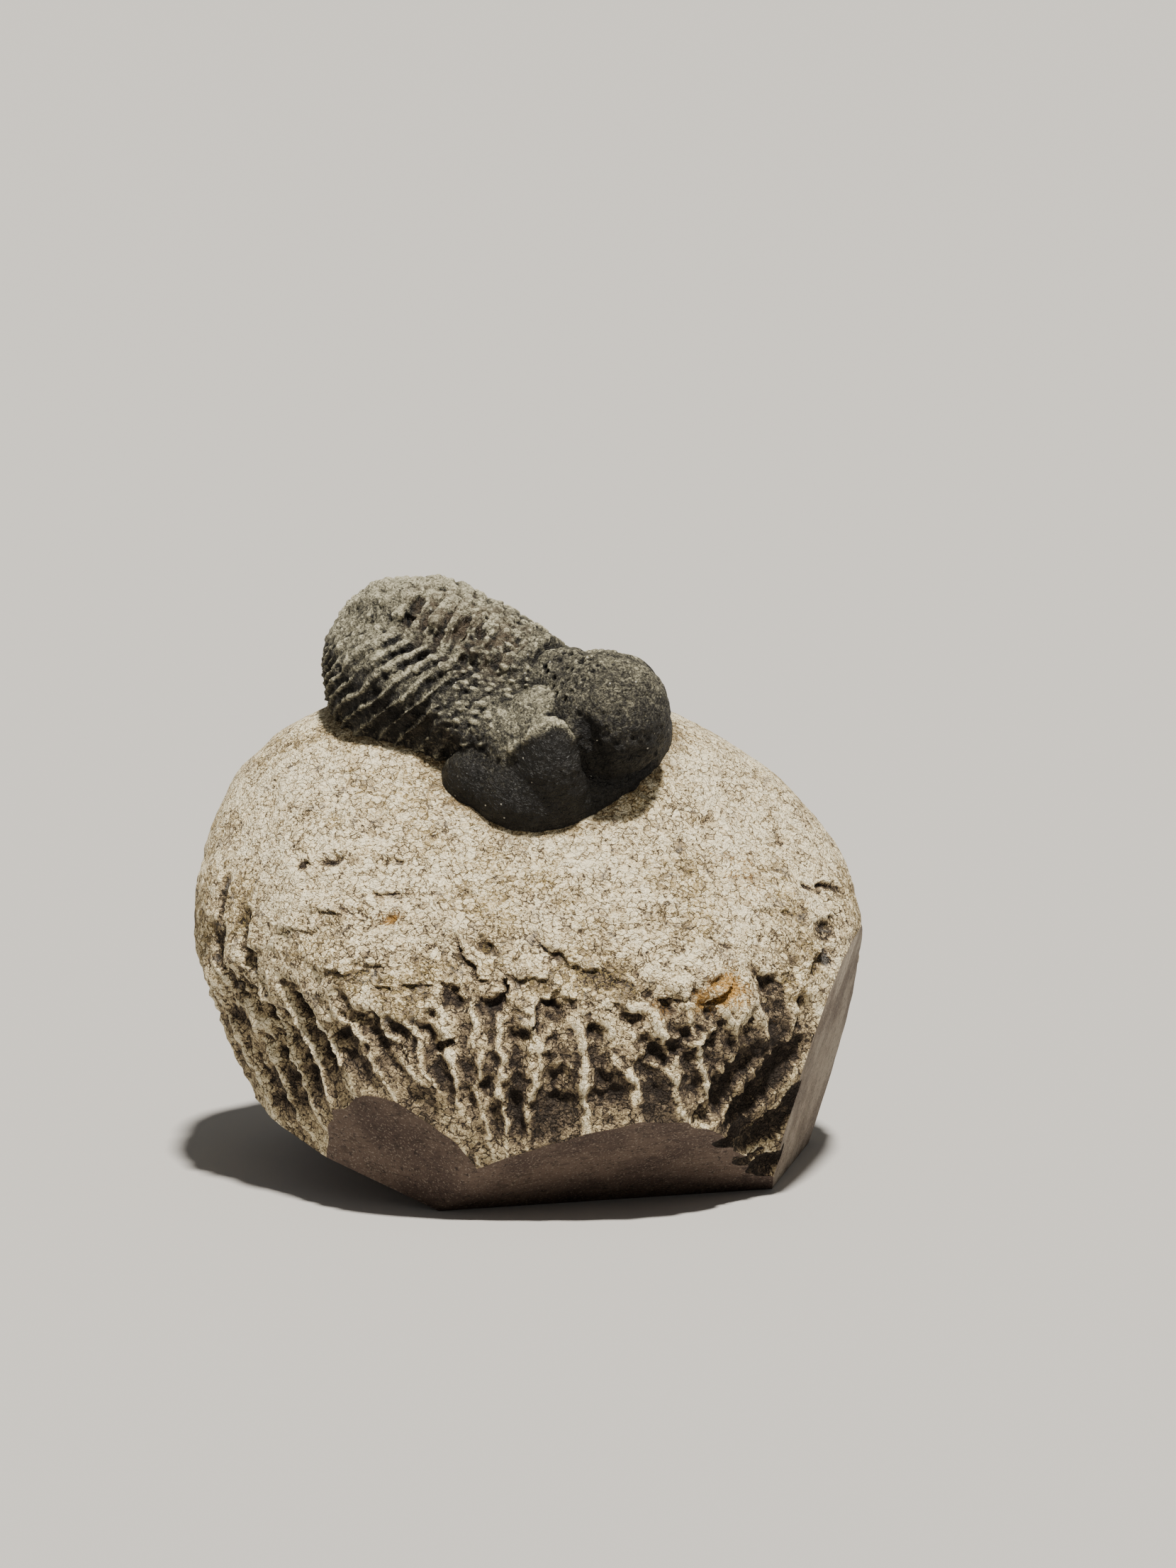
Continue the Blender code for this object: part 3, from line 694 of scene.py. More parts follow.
@dataclass
class MatrixStone:
    """The limestone lump with its scraped dome, chiselled flank and sawn faces."""

    name: str = "matrix_stone_dressed"
    node: str = "matrix_stone"
    slot: str = "limestone"
    cuts: tuple[int, int] = (9, 13)
    front_bias: float = 0.18
    middle: Triple = (0.0, 0.0, 26.0)
    rounding: float = 15.0
    faces: tuple[Triple, ...] = (
        # compass angle from +X, angle above level, distance from the middle
        (0, 90, 28.8),
        (0, 68, 28.6), (90, 68, 29.6), (180, 68, 33.8), (270, 68, 25.4),
        (0, 42, 33.2), (45, 42, 31.0), (90, 42, 30.5), (135, 42, 33.5),
        (180, 42, 38.0), (225, 42, 29.8), (270, 42, 21.8), (315, 42, 26.3),
        (0, 0, 37.0), (45, 0, 34.8), (90, 0, 32.4), (135, 0, 35.0),
        (180, 8, 37.2), (225, 0, 34.2), (270, 0, 33.4), (315, 0, 35.4),
        (0, -30, 41.5), (60, -30, 37.0), (120, -30, 35.0), (180, -30, 34.5),
        (225, -30, 37.4), (270, -30, 38.0), (315, -30, 39.0),
    )
    swell_size: float = 13.0
    swell_height: float = 0.7
    lump_size: float = 4.6
    lump_height: float = 0.3
    scoop_seed: int = 11
    scoop_pitch: float = 8.2
    scoop_depth: float = 1.75
    scoop_band_depth: float = 0.45
    scoop_top: float = 24.5
    scoop_top_spread: float = 2.6
    scoop_start: float = 3.2
    scoop_roundness: float = 1.6
    back_lean: float = 0.36
    # ridges between the flutes that the front shows: compass angle at the flutes' top, and
    # how far the ridge leans, in degrees of compass angle per millimetre of fall
    front_ridges: tuple[tuple[float, float], ...] = (
        (196.0, 0.9), (204.0, 1.0), (211.5, 1.0), (218.5, 1.05), (225.2, 1.13), (232.6, 1.25),
        (239.4, 1.3), (246.0, 0.75), (253.0, 0.45), (259.4, 0.2), (265.6, 0.02), (271.4, -0.05),
        (279.4, 0.14), (286.1, 0.36), (293.0, 0.45), (299.5, 0.5), (307.0, 0.5), (315.0, 0.5),
        (322.5, 0.4), (330.0, 0.3),
    )
    # corner of the flank where slanting gouges take the place of flutes
    slant_patch: tuple[float, float, float, float] = (303.0, 309.0, 21.0, 17.5)
    bite_pitch: tuple[float, float] = (2.2, 4.0)
    bite_depth: float = 0.45
    saw_margin: tuple[float, float] = (-0.6, 0.6)
    saws: tuple[tuple[Triple, Triple], ...] = (
        ((0.0, 0.0, -1.0), (0.0, 0.0, 0.0)),
        ((0.18, -0.62, -0.765), (-9.4, -24.0, 0.0)),
        ((-0.40, -0.76, -0.51), (-9.4, -24.0, 0.0)),
        ((-0.385, 0.05, -0.92), (-9.4, -24.0, 0.0)),
        ((0.935, -0.20, -0.276), (31.9, -5.0, 11.7)),
        ((0.12, 0.68, -0.72), (4.0, 20.0, 0.0)),
    )
    marks: tuple[Mark, ...] = (
        # slanting gouges at the lower right
        Mark(DENT, 322, -16.5, 34, 4.2, 1.7, 1.5), Mark(DENT, 311, -16.5, 36, 4.0, 1.6, 1.3),
        Mark(DENT, 316, -22.4, 34, 5.2, 1.8, 1.7), Mark(DENT, 306, -22.0, 34, 3.6, 1.5, 1.2),
        Mark(DENT, 321, -28.6, 32, 5.2, 1.9, 1.8), Mark(DENT, 311, -29.5, 32, 4.2, 1.7, 1.5),
        Mark(DENT, 327, -35.6, 28, 4.8, 1.8, 1.7), Mark(DENT, 317, -36.0, 28, 4.4, 1.7, 1.6),
        Mark(DENT, 328, -22.6, 34, 3.6, 1.6, 1.4),
        # crack in the rusty stain, and chips broken out of the sawn face's rim
        Mark(DENT, 308.4, -3.2, 30, 2.9, 0.55, 1.2, 0.5),
        Mark(DENT, 265.3, -36.0, 12, 2.4, 1.3, 1.5), Mark(DENT, 278.5, -35.0, -6, 3.2, 1.4, 1.5),
        Mark(DENT, 252.0, -33.0, -20, 2.2, 1.1, 1.2), Mark(DENT, 290.0, -34.0, 10, 2.4, 1.2, 1.2),
        # cavity and chips at the right of the flank
        Mark(DENT, 296, -12, 20, 2.6, 1.5, 1.6), Mark(DENT, 301, -9, 30, 1.6, 0.9, 0.9),
        Mark(LEDGE, 303, -10.5, 25, 3.8, 1.6, 1.0, 0.6), Mark(DENT, 254.5, -11.7, 20, 1.3, 0.7, 1.3),
        # curved plate and ledges in the middle band
        Mark(LEDGE, 288.5, 1.6, -14, 5.8, 3.4, 1.1, -1.6), Mark(SCRATCH, 292, 9.8, 4, 5.0, 0.55, 0.45, 0.5),
        Mark(SCRATCH, 310, 6.5, -34, 6.0, 0.55, 0.5, 0.6), Mark(LEDGE, 279, 5.0, -42, 3.8, 2.6, 0.9),
        Mark(LEDGE, 259.5, 2.5, -48, 4.8, 2.6, 1.2, 0.5), Mark(DENT, 262.2, -3.6, -25, 3.2, 1.4, 1.1),
        Mark(DENT, 261.5, 6.8, -30, 1.8, 1.2, 0.9), Mark(LEDGE, 269, 1.5, -12, 4.4, 2.2, 0.9, 0.4),
        Mark(LEDGE, 247, -0.5, 8, 6.4, 2.4, 0.9, 0.5), Mark(LEDGE, 300, -2.7, 22, 4.2, 1.5, 1.0, 0.3),
        Mark(SCRATCH, 306, -1.6, 24, 3.4, 0.5, 0.8), Mark(DENT, 293.5, -2.0, 10, 2.4, 1.3, 0.9),
        Mark(LEDGE, 235, 2.0, 14, 5.0, 2.2, 0.9, 0.5), Mark(LEDGE, 274.5, -3.0, 40, 3.6, 1.6, 0.9),
        Mark(LEDGE, 268.0, -5.0, 4, 3.0, 1.4, 0.8), Mark(LEDGE, 283.0, -3.5, -10, 4.6, 1.6, 0.9, -0.6),
        # dark chips on the left of the dome
        Mark(LEDGE, 227.6, 12.5, 14, 2.8, 1.2, 0.9), Mark(DENT, 219.9, 21.8, 30, 1.6, 0.9, 0.9),
        Mark(DENT, 215.3, 19.4, 10, 1.2, 0.7, 0.7), Mark(LEDGE, 234, 17.4, 16, 3.0, 1.2, 0.9, 0.3),
        Mark(DENT, 238.3, 11.8, 50, 1.3, 0.7, 0.8), Mark(DENT, 232, 24.9, 10, 1.6, 0.7, 0.6),
        Mark(LEDGE, 222, 8.0, 6, 3.4, 1.6, 0.7), Mark(SCRATCH, 211, 24.0, 80, 2.6, 0.5, 0.4, 0.4),
        # light ridges along the left edge
        Mark(DENT, 203, -2.0, -62, 6.4, 1.5, 1.1, 1.2), Mark(DENT, 209, 3.0, -60, 5.6, 1.3, 1.0, 1.0),
        Mark(DENT, 214, -8.5, -58, 4.4, 1.3, 0.9, 0.8), Mark(DENT, 200, 9.0, -66, 4.4, 1.2, 0.8, 0.8),
        # scrapes and arcs right of the head
        Mark(SCRATCH, 313.2, 22.2, -30, 2.6, 0.55, 0.5), Mark(SCRATCH, 305.8, 29.0, 12, 2.8, 0.5, 0.4, -0.5),
        Mark(DENT, 328.9, 32.3, 0, 1.6, 0.9, 0.5), Mark(SCRATCH, 312.0, 25.5, -38, 6.4, 0.7, 0.5, 0.9),
        Mark(LEDGE, 292.0, 34.5, 6, 6.0, 2.2, 0.6, -0.9), Mark(SCRATCH, 318.0, 29.0, -46, 4.2, 0.5, 0.4, 0.5),
        Mark(LEDGE, 346, 11.8, -20, 3.6, 1.8, 1.2), Mark(DENT, 338, 4.2, 10, 2.6, 1.3, 1.0),
        Mark(DENT, 334, -0.4, 20, 3.0, 1.2, 1.0), Mark(LEDGE, 342, 7.0, 12, 3.0, 1.4, 0.9),
    )
    scatter_seed: int = 5
    scatter_count: int = 170
    stains: tuple[tuple[float, float, float, float], ...] = (
        # compass angle, angle above level, radius, strength
        (309.0, -2.4, 2.2, 0.9), (304.0, -4.2, 1.7, 0.7), (327.0, 19.6, 2.6, 0.40),
        (326.0, 14.0, 2.0, 0.36), (238.3, 11.8, 0.9, 0.7), (296.0, -5.5, 1.6, 0.35),
        (60.0, 20.0, 3.4, 0.5), (140.0, -4.0, 2.8, 0.5),
    )

    # darker copy of the sawn finish for the sawn faces that look down: painted shade on the undercut
    shaded_under_finish: SawnFinish = SawnFinish(
        name="limestone_sawn_painted_shade", face=(0.12, 0.084, 0.064), shade=(0.075, 0.051, 0.041),
        streak=(0.026, 0.018, 0.015), chalk=(0.27, 0.215, 0.165),
    )

    def blunt_radius(self, directions: Array) -> Array:
        """Measure the plain lump.

        Args:
            directions: Unit rows from the lump's middle.

        Returns:
            The distance to the blunt form along each row.
        """
        pull = np.zeros(len(directions))
        for azimuth, elevation, distance in self.faces:
            facing = directions @ compass(azimuth, elevation)
            pull += (np.clip(facing, 0.0, None) / distance) ** self.rounding
        return pull ** (-1.0 / self.rounding)

    def beyond_saws(self, points: Array) -> Array:
        """Measure how far each place lies outside the nearest saw cut."""
        planes = [(points - np.array(point)) @ unit(np.array(normal)) for normal, point in self.saws]
        return np.max(planes, axis=0)

    def ridges(self, dice: random.Random) -> list[tuple[float, float]]:
        """List the ridges between the flutes all round the flank.

        Args:
            dice: Where the jitter comes from.

        Returns:
            Each ridge's compass angle at the top and its lean.
        """
        found = list(self.front_ridges)
        angle = found[-1][0] + self.scoop_pitch
        while angle < found[0][0] + 360.0 - 0.6 * self.scoop_pitch:
            found.append((angle, self.back_lean))
            angle += self.scoop_pitch * dice.uniform(0.75, 1.3)
        return found

    def scoops(self, points: Array) -> tuple[Array, Array, Array, Array]:
        """Cut the chisel's flutes round the flank.

        Args:
            points: Rows of places on the plain lump.

        Returns:
            How deep the flutes are, the share of chiselling, how near a ridge is, and the
            share of the slanting gouges' patch.
        """
        dice = random.Random(self.scoop_seed)
        ridges = self.ridges(dice)
        depths = np.array([self.scoop_depth * dice.uniform(0.6, 1.15) for _ in ridges])
        tops = np.array([self.scoop_top + self.scoop_top_spread * dice.uniform(-1.0, 1.0) for _ in ridges])
        pitches = np.array([dice.uniform(*self.bite_pitch) for _ in ridges])
        offsets = np.array([dice.uniform(0.0, 4.0) for _ in ridges])
        below = self.scoop_top - points[:, 2]
        angle = np.degrees(np.arctan2(points[:, 1], points[:, 0])) % 360.0
        angle = angle + 1.1 * NOISE.lumps(points, 4.2, 21) + 0.7 * NOISE.lumps(points, 1.5, 22)
        left = np.full(len(points), -1e9)
        right = np.full(len(points), 1e9)
        index = np.zeros(len(points), dtype=int)
        for lap in (-360.0, 0.0, 360.0):
            for step, (start, lean) in enumerate(ridges):
                edge = start + lap + lean * below
                nearer = (edge <= angle) & (edge > left)
                index[nearer] = step
                left[nearer] = edge[nearer]
                right = np.where((edge > angle) & (edge < right), edge, right)
        across = np.abs(2.0 * (angle - left) / np.maximum(right - left, 0.5) - 1.0)
        hollow = 1.0 - across ** self.scoop_roundness
        wide = np.clip((right - left) / 6.5, 0.15, 1.0)
        wobble = 1.5 * NOISE.lumps(points, 3.0, 23) + 0.7 * NOISE.lumps(points, 1.2, 24)
        started = ramp(tops[index] + wobble - points[:, 2], 0.0, self.scoop_start)
        fall = points[:, 2] + offsets[index] - 1.1 * across ** 2 + 0.7 * NOISE.lumps(points, 1.8, 25)
        bite = np.abs(2.0 * np.mod(fall / pitches[index], 1.0) - 1.0)
        first, last, high, low = self.slant_patch
        patch = ramp(angle, first, last) * ramp(-angle, -346.0, -340.0) * ramp(-points[:, 2], -high, -low)
        flute = wide * (hollow * depths[index] - self.bite_depth * bite ** 1.6 * hollow)
        flute = flute * (1.0 - patch) + 0.25 * patch
        near_ridge = ramp(across, 0.70, 0.98) * (1.0 - patch)
        lost = ramp(NOISE.layers(points, 4.2, 26, 2), 0.2, 0.6) * near_ridge
        flute = flute + 0.8 * lost
        near_ridge = near_ridge * (1.0 - 0.7 * lost)
        return started * (self.scoop_band_depth + flute), started, near_ridge, patch

    def local(self, points: Array, azimuth: float, elevation: float, slant: float) -> tuple[Array, Array, Array]:
        """Measure places along and across a mark.

        Args:
            points: Rows of places on the lump.
            azimuth: Compass angle of the mark.
            elevation: Height angle of the mark.
            slant: Degrees that the mark rises to the right, seen from outside.

        Returns:
            Millimetres along the mark, across it, and how far in front of it.
        """
        outward = compass(azimuth, elevation)
        reach = float(self.blunt_radius(outward[None, :])[0])
        away = points - (np.array(self.middle) + outward * reach)
        turn, lean = math.radians(azimuth), math.radians(slant)
        level = np.array((-math.sin(turn), math.cos(turn), 0.0))
        upward = np.cross(outward, level)
        first, second = away @ level, away @ upward
        along = first * math.cos(lean) + second * math.sin(lean)
        across = second * math.cos(lean) - first * math.sin(lean)
        return along, across, away @ outward

    def mark_depth(self, points: Array, mark: Mark, wobble: Array) -> Array:
        """Cut one mark.

        Args:
            points: Rows of places on the lump.
            mark: The mark.
            wobble: Noise that keeps its edge from running straight.

        Returns:
            How deep the mark is at each place.
        """
        along, across, ahead = self.local(points, mark.azimuth, mark.elevation, mark.slant)
        share = along / mark.length
        across = across - mark.bend * share ** 2 + wobble * min(0.6, 0.45 * mark.width)
        inside = (ahead > -8.0) & (np.abs(share) < 1.0)
        if mark.kind is DENT:
            bowl = np.clip(1.0 - share ** 2 - (across / mark.width) ** 2, 0.0, 1.0)
            return np.where(inside, mark.depth * bowl ** 0.7, 0.0)
        ends = np.clip(1.0 - share ** 2, 0.0, 1.0) ** 0.6
        if mark.kind is LEDGE:
            drop = ramp(-across, 0.0, 0.5) * np.exp(np.clip(across, None, 0.0) / mark.width)
            return np.where(inside, mark.depth * ends * drop, 0.0)
        return np.where(inside, mark.depth * ends * np.exp(-(across / mark.width) ** 2), 0.0)

    def scattered(self) -> list[Mark]:
        """Draw the small chips and scrapes that cover the rest of the dome.

        Returns:
            The chips as marks.
        """
        dice = random.Random(self.scatter_seed)
        found = []
        for _ in range(self.scatter_count):
            kind = dice.choice((DENT, LEDGE, LEDGE, SCRATCH))
            azimuth = dice.uniform(0.0, 360.0)
            elevation = 58.0 * dice.uniform(0.0, 1.0) ** 1.6 - 4.0
            length = dice.uniform(0.9, 3.2)
            width = dice.uniform(0.5, 1.3)
            depth = dice.uniform(0.25, 0.7) * (1.0 - 0.009 * elevation)
            slant = dice.gauss(8.0, 32.0)
            found.append(Mark(kind, azimuth, elevation, slant, length, width, depth, dice.uniform(-0.6, 0.6)))
        return found

    def surface(self, directions: Array) -> tuple[Array, dict[str, Array]]:
        """Shape the whole unsawn lump.

        Args:
            directions: Unit rows from the lump's middle.

        Returns:
            Rows of places in millimetres, and the finish's masks.
        """
        middle = np.array(self.middle)
        radius = self.blunt_radius(directions)
        points = middle + directions * radius[:, None]
        radius = radius + self.swell_height * swell(points, self.swell_size, 1)
        radius = radius + self.lump_height * swell(points, self.lump_size, 2)
        beyond = self.beyond_saws(points)
        ragged = beyond + 0.5 * NOISE.lumps(points, 2.4, 42)
        kept = (1.0 - 0.6 * ramp(ragged, -2.6, -0.6)) * (1.0 - ramp(ragged, *self.saw_margin))
        depth, chisel, near_ridge, patch = self.scoops(points)
        wobble = NOISE.layers(points, 1.9, 31, 2)
        broken = np.zeros(len(points))
        for mark in (*self.marks, *self.scattered()):
            broken = np.maximum(broken, self.mark_depth(points, mark, wobble))
        low = ramp(-points[:, 2], -42.0, -27.0) * (1.0 - chisel)
        plates = NOISE.layers(points, 3.4, 32, 2)
        rough = NOISE.lumps(points, 1.9, 35)
        crumbs = NOISE.lumps(points, 0.95, 36)
        pit, which = NOISE.cells(points, 2.2, 3)
        pits = np.where(which > 0.6, ramp(-pit, -0.34, -0.12), 0.0)
        fine = 0.05 * crumbs + 0.05 * rough
        flakes, thick = NOISE.cells(points * np.array((0.8, 0.8, 1.25)) + 0.7 * plates[:, None], 3.4, 5)
        flakes = (thick - 0.5) * ramp(-flakes, -0.62, -0.42)
        fine = fine + low * (0.26 * plates + 0.16 * rough + 0.07 * crumbs - 0.24 * pits + 0.55 * flakes)
        fine = fine + chisel * (0.22 * plates + 0.22 * rough + (0.17 + 0.12 * near_ridge) * crumbs)
        radius = radius - depth * kept - broken + fine * kept
        stain = np.zeros(len(points))
        for azimuth, elevation, size, strength in self.stains:
            along, across, ahead = self.local(points, azimuth, elevation, 20.0)
            spread = np.exp(-((along / (1.3 * size)) ** 2 + (across / size) ** 2))
            stain = np.maximum(stain, np.where(ahead > -8.0, strength * spread, 0.0))
        rim = ramp(beyond, -1.6, -0.1) * chisel
        deep = ramp(-points[:, 2], -24.0, -10.0)
        bruised = near_ridge * (0.65 + 0.45 * NOISE.lumps(points, 1.8, 43))
        tone = 0.13 + 0.12 * low + chisel * (0.44 + 0.18 * deep - 0.52 * bruised) - 0.22 * rim
        # chips and dents darker inside: partly their own fresh brown, partly painted shade in the recesses
        tone = tone + 0.30 * ramp(broken, 0.25, 0.9) * (1.0 - 0.6 * chisel)
        turned = np.degrees(np.arctan2(points[:, 1], points[:, 0])) % 360.0
        tone = tone + 0.20 * patch * chisel - 0.13 * chisel * ramp(-turned, -252.0, -236.0)
        tone = tone + 0.16 * NOISE.lumps(points, 6.0, 41) * (0.5 + chisel)
        return middle + directions * radius[:, None], {"tone": tone, "stain": stain, "chisel": chisel}

    def build(self, fossil_skin: Array) -> bpy.types.Object:
        """Model the stone and give it its finishes.

        Args:
            fossil_skin: Places on the fossil, for the earthy tint beside it.

        Returns:
            The finished piece.
        """
        bpy.ops.object.select_all(action="DESELECT")
        bpy.ops.mesh.primitive_cube_add(size=2.0)
        piece = bpy.context.active_object
        piece.name = self.name
        mesh = piece.data
        mesh.name = self.name
        bpy.ops.object.mode_set(mode="EDIT")
        for cuts in self.cuts:
            bpy.ops.mesh.select_all(action="SELECT")
            bpy.ops.mesh.subdivide(number_cuts=cuts)
        bpy.ops.object.mode_set(mode="OBJECT")
        grid = np.tan(coordinates(mesh) * math.pi / 4.0)
        directions = unit(unit(grid) + np.array((0.0, -self.front_bias, 0.0)))
        points, masks = self.surface(directions)
        edges = mesh_edges(mesh)
        radius = np.linalg.norm(points - np.array(self.middle), axis=1)
        fine = radius - smoothed(radius, edges, 5)
        broad = radius - smoothed(radius, edges, 36)
        # stone hollows darker and crests lighter by their relief: painted shade in hollows and painted highlight on
        # crests
        tone = masks["tone"] - 0.34 * ramp(broad, 0.06, 0.6) * masks["chisel"] - 0.16 * ramp(fine, 0.03, 0.16)
        tone = tone + 0.30 * ramp(-broad, 0.15, 0.8) + 0.30 * ramp(-fine, 0.03, 0.18)
        place_vertices(mesh, (points + CENTRE_SHIFT) * MM)
        keep_mask(mesh, "tone", tone)
        keep_mask(mesh, "stain", masks["stain"])
        keep_mask(mesh, "chisel", masks["chisel"])
        keep_mask(mesh, "earth", self.beside(points, fossil_skin))
        bpy.ops.object.mode_set(mode="EDIT")
        for normal, point in self.saws:
            bpy.ops.mesh.select_all(action="SELECT")
            bpy.ops.mesh.bisect(
                plane_co=(np.array(point) + CENTRE_SHIFT) * MM, plane_no=unit(np.array(normal)),
                use_fill=True, clear_outer=True, threshold=1e-7,
            )
        self.drop_crumbs(mesh)
        self.dress(piece)
        return piece

    @staticmethod
    def drop_crumbs(mesh: bpy.types.Mesh) -> None:
        """Delete what a saw cut left loose, keeping the part that holds the stone's top."""
        bpy.ops.mesh.select_all(action="DESELECT")
        bpy.ops.object.mode_set(mode="OBJECT")
        top = int(np.argmax(coordinates(mesh)[:, 2]))
        mesh.vertices[top].select = True
        bpy.ops.object.mode_set(mode="EDIT")
        bpy.ops.mesh.select_linked()
        bpy.ops.mesh.select_all(action="INVERT")
        bpy.ops.mesh.delete(type="VERT")
        bpy.ops.object.mode_set(mode="OBJECT")

    @staticmethod
    def beside(points: Array, skin: Array) -> Array:
        """Measure how near the stone is to the fossil.

        Args:
            points: Rows of places on the stone.
            skin: Rows of places on the fossil.

        Returns:
            1 beside the fossil, falling to 0 a few millimetres away.
        """
        share = np.zeros(len(points))
        low, high = skin.min(axis=0) - 3.5, skin.max(axis=0) + 3.5
        thin = skin[::5]
        tree = KDTree(len(thin))
        for index, place in enumerate(thin):
            tree.insert(place, index)
        tree.balance()
        for index in np.nonzero(np.all((points > low) & (points < high), axis=1))[0]:
            gap = tree.find(points[index])[2]
            share[index] = max(0.0, 1.0 - gap / 3.9)
        return share

    def dress(self, piece: bpy.types.Object) -> None:
        """Give the lump its finish and the sawn faces theirs; the sawn faces that look down take a darker copy, which
        is painted shade.
        """
        mesh = piece.data
        mesh.materials.append(LimestoneFinish().make())
        mesh.materials.append(SawnFinish().make())
        mesh.materials.append(self.shaded_under_finish.make())
        count = len(mesh.polygons)
        normals, centres = np.empty(count * 3, np.float32), np.empty(count * 3, np.float32)
        mesh.polygons.foreach_get("normal", normals)
        mesh.polygons.foreach_get("center", centres)
        normals, centres = normals.reshape(-1, 3), centres.reshape(-1, 3) / MM
        finish = np.zeros(count, dtype=np.int32)
        for normal, point in self.saws:
            outward = unit(np.array(normal))
            level = np.abs((centres - np.array(point) - CENTRE_SHIFT) @ outward) < 0.002
            # sawn faces that look down take the darker copy, which is painted shade
            finish[level & (normals @ outward > 0.9999)] = 2 if outward[2] < -0.5 else 1
        mesh.polygons.foreach_set("material_index", finish)
        only(piece)
        bpy.ops.object.shade_smooth_by_angle(angle=math.radians(50.0))
        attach(piece, ROOT)
        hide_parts(self.node)


@dataclass
class Trilobite:
    """The petrified animal: bulbous brow, cheek, eye, ringed body and rounded tail."""

    name: str = "trilobite_dressed"
    node: str = "trilobite"
    slot: str = "fossil_shell"
    columns: int = 236
    rows: int = 404
    spine: tuple[Triple, ...] = (
        (13.0, -15.4, 45.8), (8.4, -12.6, 49.6), (2.4, -8.9, 52.4), (-4.2, -4.6, 54.3),
        (-10.4, -0.8, 56.0), (-14.4, 1.8, 56.6),
    )
    heading: float = 32.0
    head_roll: float = 20.0
    head_pitch: float = 25.0
    head_station: float = 10.5
    tail_station: float = 30.5
    head_cap: float = 3.0
    tail_cap: float = 12.0
    tail_arc: float = 7.5
    body_depth: float = 12.0
    stations: tuple[float, ...] = (10.5, 14.5, 18.0, 24.0, 30.5)
    half_widths: tuple[float, ...] = (5.0, 9.4, 10.2, 11.0, 11.8)
    heights: tuple[float, ...] = (0.5, 3.9, 5.2, 7.8, 9.2)
    rolls: tuple[float, ...] = (18.0, 21.0, 26.0, 31.0, 32.0)
    plan_squareness: float = 1.95
    body_squareness: float = 1.88
    wall_squareness: float = 3.2
    far_side_share: float = 0.86
    axis_share: float = 0.42
    axis_cap_share: float = 0.72
    axis_rise: float = 1.1
    axis_squareness: float = 2.7
    blend: float = 26.0
    brow: Triple = (8.5, -12.6, 52.0)
    lobes: tuple[tuple[str, Triple, Triple], ...] = (
        # name, middle (forward, right, up) from the brow, half sizes
        ("brow", (0.0, 0.0, 0.0), (6.9, 6.9, 6.9)),
        ("brow", (-5.6, 0.0, -0.6), (5.0, 4.6, 5.4)),
        ("collar", (-10.2, 0.0, -2.2), (1.7, 5.4, 6.4)),
        ("cheek", (-3.8, 0.0, -8.2), (9.6, 13.8, 7.8)),
        ("cheek", (-8.2, 10.0, -9.0), (4.2, 4.0, 5.4)),
        ("cheek", (-8.2, -10.0, -9.0), (4.2, 4.0, 5.4)),
        ("slope", (-5.4, 6.6, -3.9), (4.6, 4.4, 4.8)),
        ("slope", (-5.4, -6.6, -3.9), (4.6, 4.4, 4.8)),
        ("slope", (-4.6, 5.2, -1.6), (4.2, 3.8, 4.4)),
        ("cheek", (-1.2, 7.2, -6.6), (5.0, 4.1, 7.4)),
        ("eye", (-1.7, 7.4, -2.2), (4.0, 3.1, 4.6)),
        ("eye", (-2.2, -7.7, -2.4), (3.7, 2.8, 4.2)),
    )
    # the lid over the eye and the furrow in front of it, from the brow as the lobes are
    lid: tuple[Triple, ...] = (
        (-4.8, 10.4, -2.0), (-3.6, 10.2, -0.2), (-2.8, 9.2, 1.2), (-2.0, 7.6, 2.3), (-0.4, 6.9, 2.4), (1.0, 6.9, 1.6),
    )
    furrow: tuple[Triple, ...] = ((1.6, 6.2, 3.4), (3.4, 6.4, 0.8), (4.4, 6.0, -2.4), (4.8, 4.8, -5.6))
    ring_start: float = 13.6
    ring_pitch: float = 1.75
    ring_count: int = 15
    ring_groove: float = 0.85
    ring_groove_width: float = 0.21
    # broken spots on the back: place, radius, depth
    hollows: tuple[tuple[Triple, float, float], ...] = (
        ((-6.6, -9.8, 60.6), 1.2, 1.2), ((-8.4, -9.6, 60.2), 1.0, 0.8), ((-10.2, -8.6, 60.4), 1.0, 0.7),
        ((-6.8, -11.0, 57.4), 1.2, 0.8), ((-5.2, -11.2, 57.2), 1.0, 0.7), ((-9.0, -10.4, 58.2), 1.0, 0.6),
        ((-12.4, -11.6, 50.4), 1.7, 1.3), ((-16.0, -10.6, 51.4), 1.5, 1.0), ((-9.4, -12.6, 49.2), 1.3, 0.9),
        ((-15.2, -3.2, 63.8), 0.9, 0.5),
    )
    plates: tuple[tuple[Triple, float, float], ...] = (
        ((-5.3, -6.1, 62.4), 1.7, 0.4), ((-3.6, -6.8, 61.2), 1.4, 0.35), ((-8.2, -5.4, 63.4), 1.5, 0.35),
        ((-10.0, -6.8, 62.4), 0.9, 0.3),
    )
    skin: Optional[Array] = field(default=None, repr=False)

    def line(self, stations: Array) -> Array:
        """Follow the curve through the spine's points.

        Args:
            stations: Lengths from the spine's start.

        Returns:
            Rows of places.
        """
        knots = np.array(self.spine)
        lengths = np.concatenate(([0.0], np.cumsum(np.linalg.norm(np.diff(knots, axis=0), axis=1))))
        slopes = np.gradient(knots, lengths, axis=0)
        index = np.clip(np.searchsorted(lengths, stations, side="right") - 1, 0, len(knots) - 2)
        span = (lengths[index + 1] - lengths[index])[:, None]
        share = ((stations - lengths[index])[:, None]) / span
        start = (1.0 + 2.0 * share) * (1.0 - share) ** 2
        leave = share * (1.0 - share) ** 2 * span
        end = share ** 2 * (3.0 - 2.0 * share)
        arrive = share ** 2 * (share - 1.0) * span
        return start * knots[index] + leave * slopes[index] + end * knots[index + 1] + arrive * slopes[index + 1]

